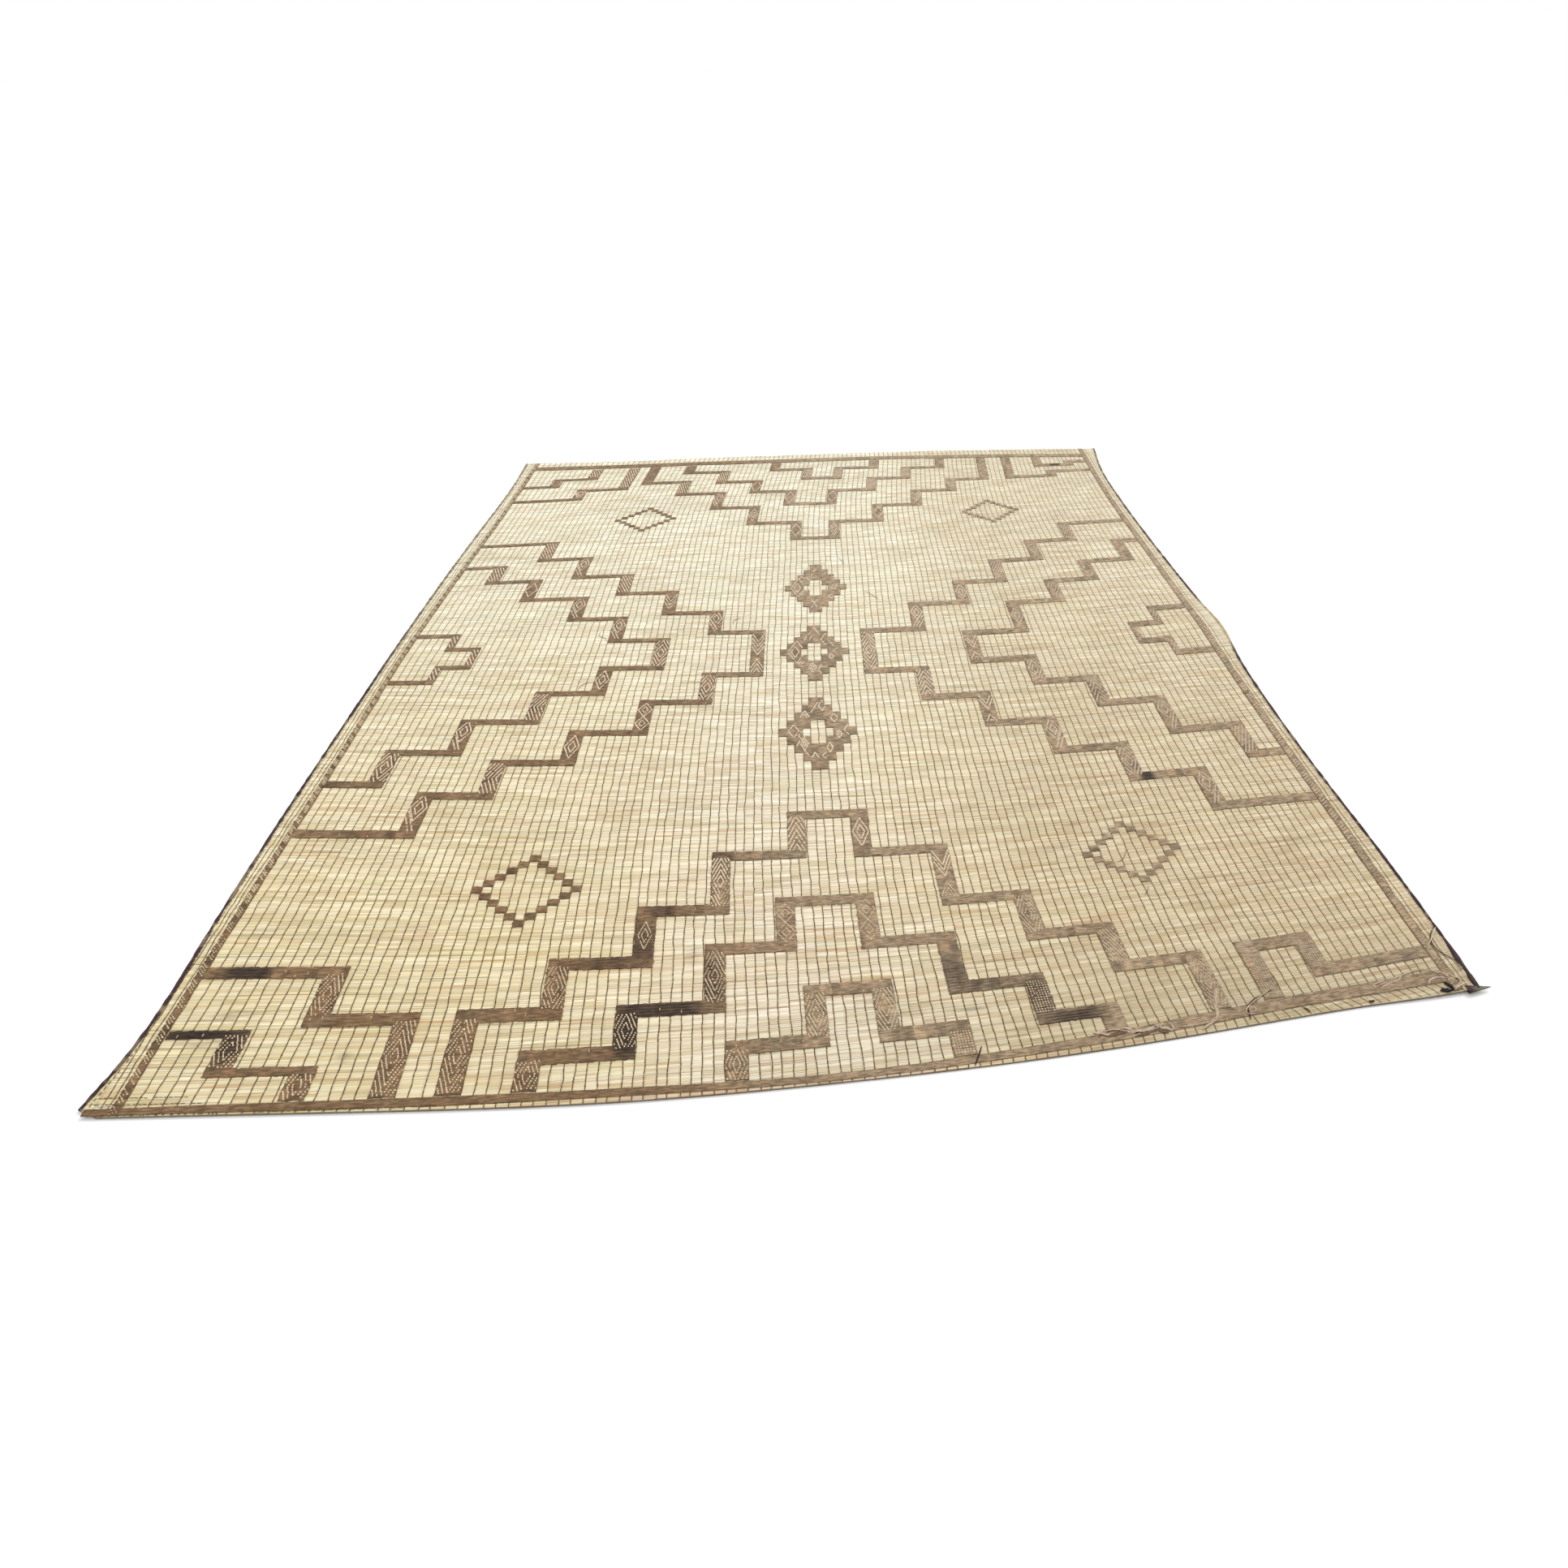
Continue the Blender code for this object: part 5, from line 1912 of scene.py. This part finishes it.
        colours = blend(first, second, smooth_step(v, -1.9, -0.3))
        faint = 0.85 * smooth_step(u, 0.45, 1.00)[:, None]
        colours = colours * (1 - faint) + np.asarray(TONES.float_right) * faint
        shade = np.repeat(random.uniform(0.84, 1.08, count), 5)
        colours = np.clip(colours * shade[:, None], 0.0, 0.95)
        faces = (start + sides[None]).reshape(-1, 3)
        return Sheet.at(u, v, z.ravel(), faces, colours)


@dataclass
class EdgeBinding:
    """The dark leather rolled over one long edge.

    Attributes:
        rows: how many places along it carry the mesh.
        unevenness: how much fuller and thinner it gets along its length.
        corner: how much wider it is at the near right corner.
        worn: the colour of its worn places.
        seed: the seed of its unevenness.
        leaf: half the flat tail's width at its root.
        leaf_start: how far inside the corner the tail starts.
        leaf_length: how long it is.
        leaf_sides: how many sides it has.
        SECTION: the rolled leather's outline, as places outwards of the edge and heights.
    """

    rows: int = 900
    unevenness: float = 0.18
    corner: float = 1.1
    worn: Colour = linear(196, 178, 142)
    seed: int = 71
    leaf: float = 0.0140
    leaf_start: float = 0.034
    leaf_length: float = 0.063
    leaf_sides: int = 6

    SECTION = (
        (-0.0058, 0.0056),
        (-0.0052, 0.0071),
        (-0.0030, 0.0080),
        (-0.0002, 0.0078),
        (0.0019, 0.0062),
        (0.0023, 0.0032),
        (0.0014, 0.0003),
        (-0.0020, 0.0000),
    )

    def build(self, side: int, name: str, material: Material) -> bpy.types.Object:
        """Build the binding: its section carried along the edge, uneven, and dark with worn places.

        Args:
            side: -1 for the left edge and +1 for the right one.
            name: the solid that it stands for.
            material: the binding's material.

        Returns:
            The piece's object.
        """
        random = np.random.default_rng(self.seed + side)
        shares = np.linspace(0.0, 1.0, self.rows)
        middle = NEAR_EDGE + shares * (FAR_EDGE - NEAR_EDGE)
        edge = CHART.side_line(middle, side)
        near, far = CHART.end_edge(edge, -1), CHART.end_edge(edge, 1)
        v = near + shares * (far - near)
        stations = np.linspace(0.0, 1.0, 220)
        uneven = np.interp(shares, stations, random.normal(0.0, 1.0, len(stations)))
        swell = np.clip(1 + self.unevenness * uneven, 0.6, 1.35)
        section = np.array(self.SECTION)
        out = section[:, 0][None] * swell[:, None]
        if side > 0:
            wider = 1 + self.corner * smooth_step(-v, 1.95, 2.10)
            out = np.where(out < 0, out * wider[:, None], out)
        height = np.clip(section[:, 1][None] * (0.5 + 0.5 * swell[:, None]), 0.0, 0.0095)
        around = len(section)
        u = edge[:, None] + side * out
        flat_v = np.repeat(v, around)
        faces = strip_faces(1, self.rows, around)
        if side > 0:
            faces = faces[:, ::-1]
        worn = np.exp(-(((v - 0.04) / 0.20) ** 4)) if side > 0 else 0.25 * smooth_step(v, -0.3, 0.4)
        patches = np.interp(shares, stations, random.uniform(0.0, 1.0, len(stations)))
        worn = worn + 0.30 * smooth_step(patches, 0.62, 0.9) + 0.22 * smooth_step(v, 0.2, 1.6)
        worn = np.repeat(np.clip(worn, 0.0, 1.0), around)
        colours = blend(TONES.binding, self.worn, worn)
        sheet = Sheet.at(u.ravel(), flat_v, height.ravel(), faces, colours)
        if side > 0:
            sheet = sheet.joined(self.tail(edge[0], v[0]))
        return build(name + "_roll", sheet, material, "dark_leather", name)

    def tail(self, edge: float, row: float) -> Sheet:
        """Return the binding's pointed tail: a flat leaf that narrows from the corner outwards.

        Args:
            edge: the edge's place across, at the corner.
            row: the corner's place along.

        Returns:
            The mesh.
        """
        steps = np.linspace(0.0, 1.0, 12)
        angles = np.linspace(0.0, 2 * math.pi, self.leaf_sides, endpoint=False)
        half = self.leaf * (1 - steps) ** 0.8 + 0.0004
        u = edge - self.leaf_start + self.leaf_length * steps
        v = row + 0.004 - 0.006 * steps
        ring_u = np.repeat(u, self.leaf_sides)
        ring_v = (v[:, None] + half[:, None] * np.cos(angles)).ravel()
        height = (0.0044 + (0.0012 + 0.18 * half[:, None]) * np.sin(angles)).ravel()
        grey = np.repeat(smooth_step(steps, 0.15, 0.5), self.leaf_sides)
        colours = blend(TONES.binding, Tone.GREEN_GREY.value, grey)
        faces = strip_faces(1, len(steps), self.leaf_sides)
        return Sheet.at(ring_u, ring_v, height, faces, colours)


@dataclass
class LooseEnds:
    """Thongs that have worked loose and lie on the mat.

    Attributes:
        width: how wide a loose thong is.
        thick: how thick it is.
        steps: how many rings each stretch between two points has.
        around: how many sides it has.
        rest: the height of its middle over the floor.
        stray_rest: the same for the short stray ends.
    """

    width: float = 0.0042
    thick: float = 0.0018
    steps: int = 8
    around: int = 6
    rest: float = 0.0082
    stray_rest: float = 0.0073

    def sheet(self, points: Sequence[Point], width: float, tone: Colour, height: float) -> Sheet:
        """Make one thong's mesh: a flattened round section carried along a smooth line.

        Args:
            points: the chart points that it passes.
            width: how wide it is.
            tone: its colour.
            height: the height of its middle.

        Returns:
            The mesh.
        """
        stations = np.arange(len(points))
        at = np.linspace(0, len(points) - 1, self.steps * (len(points) - 1) + 1)
        u = smooth_lookup(at, stations, [point[0] for point in points])
        v = smooth_lookup(at, stations, [point[1] for point in points])
        heading = np.column_stack((np.gradient(u), np.gradient(v)))
        heading /= np.linalg.norm(heading, axis=1)[:, None]
        sideways = np.column_stack((-heading[:, 1], heading[:, 0]))
        taper = np.sin(np.clip(at / at[-1], 0.04, 0.96) * math.pi) ** 0.35
        angles = np.linspace(0.0, 2 * math.pi, self.around, endpoint=False)
        reach = (width / 2 * taper)[:, None] * np.cos(angles)
        rise = (self.thick / 2 * taper)[:, None] * np.sin(angles)
        ring_u = (u[:, None] + sideways[:, :1] * reach).ravel()
        ring_v = (v[:, None] + sideways[:, 1:] * reach).ravel()
        z = (height + rise).ravel()
        colours = np.broadcast_to(np.asarray(tone), (len(ring_u), 3))
        faces = strip_faces(1, len(at), self.around)
        return Sheet.at(ring_u, ring_v, z, faces, colours)


@dataclass
class Mat:
    """The whole mat, piece by piece.

    Attributes:
        mark: half the width and half the length of a pale mark where a thong crosses a band.
        dash: the same for a dash of the thong beside each binding.
        dash_pitch: how far apart the dashes are.
        dash_inset: how far inside the edge they run.
        border_rows: how many points a row of the end borders' grid has across the border.
        border_tone: how much lighter and darker a patch of an end border is, and a course of it.
    """

    mark: tuple[float, float] = (0.0008, 0.0042)
    dash: tuple[float, float] = (0.0009, 0.0050)
    dash_pitch: float = 0.0145
    dash_inset: float = 0.0078
    border_rows: int = 8
    border_tone: tuple[float, float] = (0.09, 0.05)

    def build(self) -> None:
        """Build every piece, in the order in which a maker would work."""
        reed = ReedFinish().material()
        woven = WOVEN_LEATHER.material()
        bound = BINDING_LEATHER.material()
        thong = THONG_LEATHER.material()
        pale = PALE_REED.material()
        field = ReedField()
        ground = field.build(reed)
        field.build_underside(reed)
        total = len(field.columns())
        names = ("thongs_left", "thongs_middle", "thongs_right")
        thirds = (0, total // 3, 2 * total // 3, total)
        for name, first, last in zip(names, thirds, thirds[1:]):
            Thongs().build(name, first, last, thong)
        self.build_borders(woven, pale)
        self.build_bands(woven, pale)
        self.build_diamonds(woven, pale)
        EdgeBinding().build(-1, "left_edge_binding", bound)
        EdgeBinding().build(1, "right_edge_binding", bound)
        self.build_stitches(thong)
        self.build_loose(thong)

    def build_bands(self, leather: Material, pale: Material) -> None:
        """Build the stepped bands and hooks, the pale figures on them and the crossing marks.

        Args:
            leather: the bands' material.
            pale: the figures' material.
        """
        layout, weave, figures = StepLayout(), WovenLeather(), PaleFigures()
        every, crossed = [], []
        for band in BANDS:
            crosswise, lengthwise = layout.boxes(band)
            weave.build(band.name, crosswise + lengthwise, (), leather)
            for room, word in zip(layout.rooms(band), band.figures.split()):
                every.append(figures.strip(room, Figure(word)))
            crossed += crosswise
        sheet = figures.sheet(np.vstack(every), 0, TONES.float_near, TONES.float_far)
        build("band_figures", sheet, pale, "reed")
        marks = figures.sheet(self.crossing_marks(crossed), 3, TONES.float_near, TONES.float_far)
        build("crossing_marks", marks, pale, "reed")

    def crossing_marks(self, boxes: Sequence[Box], share: float = 0.22) -> Array:
        """Return the short pale marks where some thongs cross over a crosswise part.

        Args:
            boxes: the crosswise parts.
            share: the share of thongs that show.

        Returns:
            Pads that run lengthwise, a row each.
        """
        random = np.random.default_rng(97)
        marks = []
        for box in boxes:
            lines = np.arange(math.ceil(box.left / THONG_PITCH), box.right / THONG_PITCH)
            lines = lines * THONG_PITCH
            lines = lines[random.uniform(size=len(lines)) < share]
            rows = random.uniform(box.near + 0.006, box.far - 0.006, len(lines))
            marks.append(np.column_stack((lines, rows)))
        return self.lengthwise(np.vstack(marks), self.mark)

    def lengthwise(self, places: Array, size: tuple[float, float]) -> Array:
        """Return pads that run lengthwise, a row each, from their places and half their size."""
        return np.column_stack((places, np.broadcast_to((0.0, 1.0, *size), (len(places), 4))))

    def build_diamonds(self, leather: Material, pale: Material) -> None:
        """Build the filled and the outlined diamonds.

        Args:
            leather: the diamonds' material.
            pale: the figures' material.
        """
        layout, weave, figures = StepLayout(), WovenLeather(), PaleFigures()
        every = []
        for diamond in FILLED_DIAMONDS:
            boxes = layout.courses(diamond, DIAMOND_HALF_WIDTHS)
            holes = layout.courses(diamond, DIAMOND_GAP_HALF_WIDTHS)
            weave.build(diamond.name, boxes, holes, leather)
            motifs = DIAMOND_MOTIFS[diamond.name]
            pads = figures.pads(figures.lines(motifs, diamond.thong * THONG_PITCH, diamond.row))
            on_leather = np.any([figures.within(pads, box, figures.margin) for box in boxes], axis=0)
            in_gap = np.any([figures.within(pads, box, -figures.margin) for box in holes], axis=0)
            every.append(pads[on_leather & ~in_gap])
        sheet = figures.sheet(np.vstack(every), 1, TONES.float_middle, TONES.float_far)
        build("diamond_figures", sheet, pale, "reed")
        for ring in OUTLINED_DIAMONDS:
            outer = [RING_REACH + 0.5 - abs(step) for step in range(-RING_REACH, RING_REACH + 1)]
            inner = [RING_REACH - 0.5 - abs(step) for step in range(1 - RING_REACH, RING_REACH)]
            holes = layout.courses(ring, inner, -RING_OVERLAP)
            weave.build(ring.name, layout.courses(ring, outer, RING_OVERLAP), holes, leather)

    def build_borders(self, leather: Material, pale: Material) -> None:
        """Build the two end borders and the two narrow side borders with their slanted lines.

        Args:
            leather: the borders' material.
            pale: the figures' material.
        """
        weave, figures = WovenLeather(), PaleFigures()
        for end, name in ((-1, "near_border"), (1, "far_border")):
            self.build_end_border(end, name, leather)
        pads = []
        for side, name in ((-1, "left_border"), (1, "right_border")):
            inner = side * SIDE_BORDER_INNER_THONG * THONG_PITCH
            outer = side * SIDE_BORDER_OUTER_THONG[side] * THONG_PITCH
            near = float(CHART.end_edge(np.array([inner]), -1)[0]) + 0.004
            far = float(CHART.end_edge(np.array([inner]), 1)[0]) - 0.004
            box = Box(min(inner, outer), max(inner, outer), near, far)
            weave.build(name, [box], (), leather)
            motifs = self.border_motifs(side, (box.right - box.left) / 2 - 0.001)
            made = figures.pads(figures.lines(motifs, (box.left + box.right) / 2, 0.0))
            pads.append(made[figures.within(made, box)])
        sheet = figures.sheet(np.vstack(pads), 2, TONES.float_border, TONES.float_border, 0.12)
        build("border_figures", sheet, pale, "reed")

    def border_motifs(self, side: int, half: float) -> list[Motif]:
        """Return a side border's figures: groups of short slanted lines with plain leather between.

        Args:
            side: -1 for the left border and +1 for the right one.
            half: half the border's width.

        Returns:
            The shapes, placed from the chart's middle row.
        """
        shape, pitch, group, kept = (
            (Shape.FALL, 0.0090, 0.052, 0.036) if side < 0 else (Shape.RISE, 0.0150, 0.075, 0.046)
        )
        rows = np.arange(NEAR_EDGE, FAR_EDGE, pitch)
        rows = rows[(rows - NEAR_EDGE) % group < kept]
        return [Motif(shape, 0.0, row, half, 0.009) for row in rows]

    def build_stitches(self, material: Material) -> None:
        """Build the dark stitches along the near edge and the dashed thong beside each binding.

        Args:
            material: the stitches' material.
        """
        figures = PaleFigures()
        runs = []
        for run in STITCH_RUNS:
            heading = np.array(run.stitch) / math.hypot(*run.stitch)
            middles = np.linspace(run.start, run.end, run.count)
            size = (*heading, run.width / 2, math.hypot(*run.stitch) / 2)
            runs.append(np.column_stack((middles, np.broadcast_to(size, (run.count, 4)))))
        rows = np.arange(NEAR_EDGE + 0.05, FAR_EDGE - 0.05, self.dash_pitch)
        for side in (-1, 1):
            line = CHART.side_line(rows, side) - side * self.dash_inset
            runs.append(self.lengthwise(np.column_stack((line, rows)), self.dash))
        sheet = figures.sheet(np.vstack(runs), 5, TONES.thong, TONES.leather_far, 0.12)
        sheet.points[:, 2] -= LEATHER_TOP - REED_TOP - 0.0003
        build("edge_stitches", sheet, material, "thong_leather")

    def build_end_border(self, end: int, name: str, leather: Material) -> None:
        """Build one end border: a grid between its two uneven edges, with a wall down to the reeds.

        Args:
            end: -1 for the near border and +1 for the far one.
            name: the solid that it stands for.
            leather: its material.
        """
        weave = WovenLeather()
        random = np.random.default_rng(weave.seed + end)
        reach = SIDE_BORDER_INNER_THONG * THONG_PITCH - SIDE_GAP
        left = NEAR_BORDER_CORNER if end < 0 else -reach
        columns, rows = round((reach - left) / weave.cell_across), self.border_rows
        across = np.linspace(left, reach, columns)
        inner = CHART.border_line(across, end, True)
        outer = CHART.border_line(across, end, False)
        low, high = np.minimum(inner, outer), np.maximum(inner, outer)
        shares = np.linspace(0.0, 1.0, rows)[:, None]
        u = np.broadcast_to(across, (rows, columns)).ravel()
        v = (low + shares * (high - low)).ravel()
        row, column = np.divmod(np.arange(rows * columns), columns)
        faces = grid_faces(rows, columns)
        rim, wall = weave.skirt(faces, len(u))
        z = LEATHER_TOP - weave.relief + weave.relief * np.where((column + row) % 2 == 0, 1.0, -1.0)
        z[rim] -= weave.rim_drop
        z += 0.0006 * smooth_step(-u, reach, reach + 0.004)
        patches = random.normal(0.0, self.border_tone[0], columns // 4 + 1)[column // 4]
        patchy = patches + random.normal(0.0, self.border_tone[1], rows)[row]
        colours = leather_tint(u, v) * (1 + patchy)[:, None]
        sheet = weave.walled(u, v, z, faces, rim, wall, colours)
        build(name + "_weave", sheet, leather, "brown_leather", name)

    def build_loose(self, material: Material) -> None:
        """Build the loose thongs and the short strays.

        Args:
            material: their material.
        """
        ends = LooseEnds()
        for thong in LOOSE_THONGS:
            sheet = ends.sheet(thong.points, ends.width, TONES.loose, ends.rest)
            build(thong.name + "_strip", sheet, material, "thong_leather", thong.name)
        sheets = [
            ends.sheet(stray.points, stray.width, stray.tone.value, ends.stray_rest)
            for stray in STRAYS
        ]
        build("stray_thongs", reduce(Sheet.joined, sheets), material, "thong_leather")


@dataclass(frozen=True)
class Studio:
    """A plain pale floor, soft light and the camera.

    Attributes:
        focal: the focal length, in millimetres on a 36 mm wide picture.
        shift_x: how far the picture is moved across, as a share of its width.
        eye: where the camera stands.
        right: the direction that runs to the right in the picture.
        down: the direction that runs down in the picture.
        forward: the direction that the camera looks.
        floor_half: half the floor's size.
        floor_height: its height, just under the mat.
        floor_tone: how light it is.
        lamp_turn: how far the lamp is turned about the two floor axes, in degrees.
        lamp_size: how wide the lamp looks from the mat, in degrees.
    """

    focal: float = 27.02
    shift_x: float = -0.0938
    eye: tuple[float, float, float] = (0.0038, -4.0589, 1.876)
    right: tuple[float, float, float] = (0.99504, -0.09891, 0.01032)
    down: tuple[float, float, float] = (-0.04396, -0.53054, -0.84652)
    forward: tuple[float, float, float] = (0.08921, 0.84187, -0.53226)
    floor_half: float = 60.0
    floor_height: float = -0.0004
    floor_tone: float = 0.93
    lamp_turn: tuple[float, float] = (-32, 34)
    lamp_size: float = 18

    def build(self) -> None:
        """Build the floor, the lights and the camera."""
        self.build_floor()
        self.build_lights()
        self.build_camera()

    def build_floor(self) -> None:
        """Build the floor, a large pale plane just under the mat."""
        half, low, tone = self.floor_half, self.floor_height, self.floor_tone
        mesh = bpy.data.meshes.new("floor")
        corners = ((-half, -half, low), (half, -half, low), (half, half, low), (-half, half, low))
        mesh.from_pydata(corners, [], [(0, 1, 2, 3)])
        shader = Shader("floor", 0.95)
        shader.surface.inputs["Base Color"].default_value = (tone, tone, tone, 1.0)
        shader.surface.inputs["Specular IOR Level"].default_value = 0.0
        mesh.materials.append(shader.material)
        floor = bpy.data.objects.new("floor", mesh)
        bpy.context.scene.collection.objects.link(floor)

    def build_lights(self) -> None:
        """Build an even white sky and one large soft light from the far right."""
        world = bpy.data.worlds.new("studio")
        world.use_nodes = True
        background = world.node_tree.nodes["Background"].inputs
        background["Color"].default_value = (1.0, 1.0, 1.0, 1.0)
        background["Strength"].default_value = 1.0
        bpy.context.scene.world = world
        light = bpy.data.lights.new("window", "SUN")
        light.energy = 1.0
        light.angle = math.radians(self.lamp_size)
        lamp = bpy.data.objects.new("window", light)
        turn_x, turn_y = (math.radians(turn) for turn in self.lamp_turn)
        lamp.rotation_euler = (turn_x, turn_y, 0.0)
        bpy.context.scene.collection.objects.link(lamp)
        bpy.context.scene.view_settings.view_transform = "Standard"

    def build_camera(self) -> None:
        """Build the camera from its place and the directions of the picture's sides."""
        data = bpy.data.cameras.new("camera")
        data.sensor_width = 36.0
        data.lens = self.focal
        data.shift_x = self.shift_x
        data.clip_end = 200.0
        camera = bpy.data.objects.new("camera", data)
        up = tuple(-part for part in self.down)
        back = tuple(-part for part in self.forward)
        axes = Matrix((self.right, up, back)).transposed().to_4x4()
        camera.matrix_world = Matrix.Translation(self.eye) @ axes
        bpy.context.scene.collection.objects.link(camera)
        bpy.context.scene.camera = camera


def main() -> None:
    """Build the mat and the studio."""
    logging.basicConfig(level=logging.INFO, format="%(name)s: %(message)s")
    Mat().build()
    Studio().build()
    log.info("studio built")


if __name__ == "__main__":
    main()
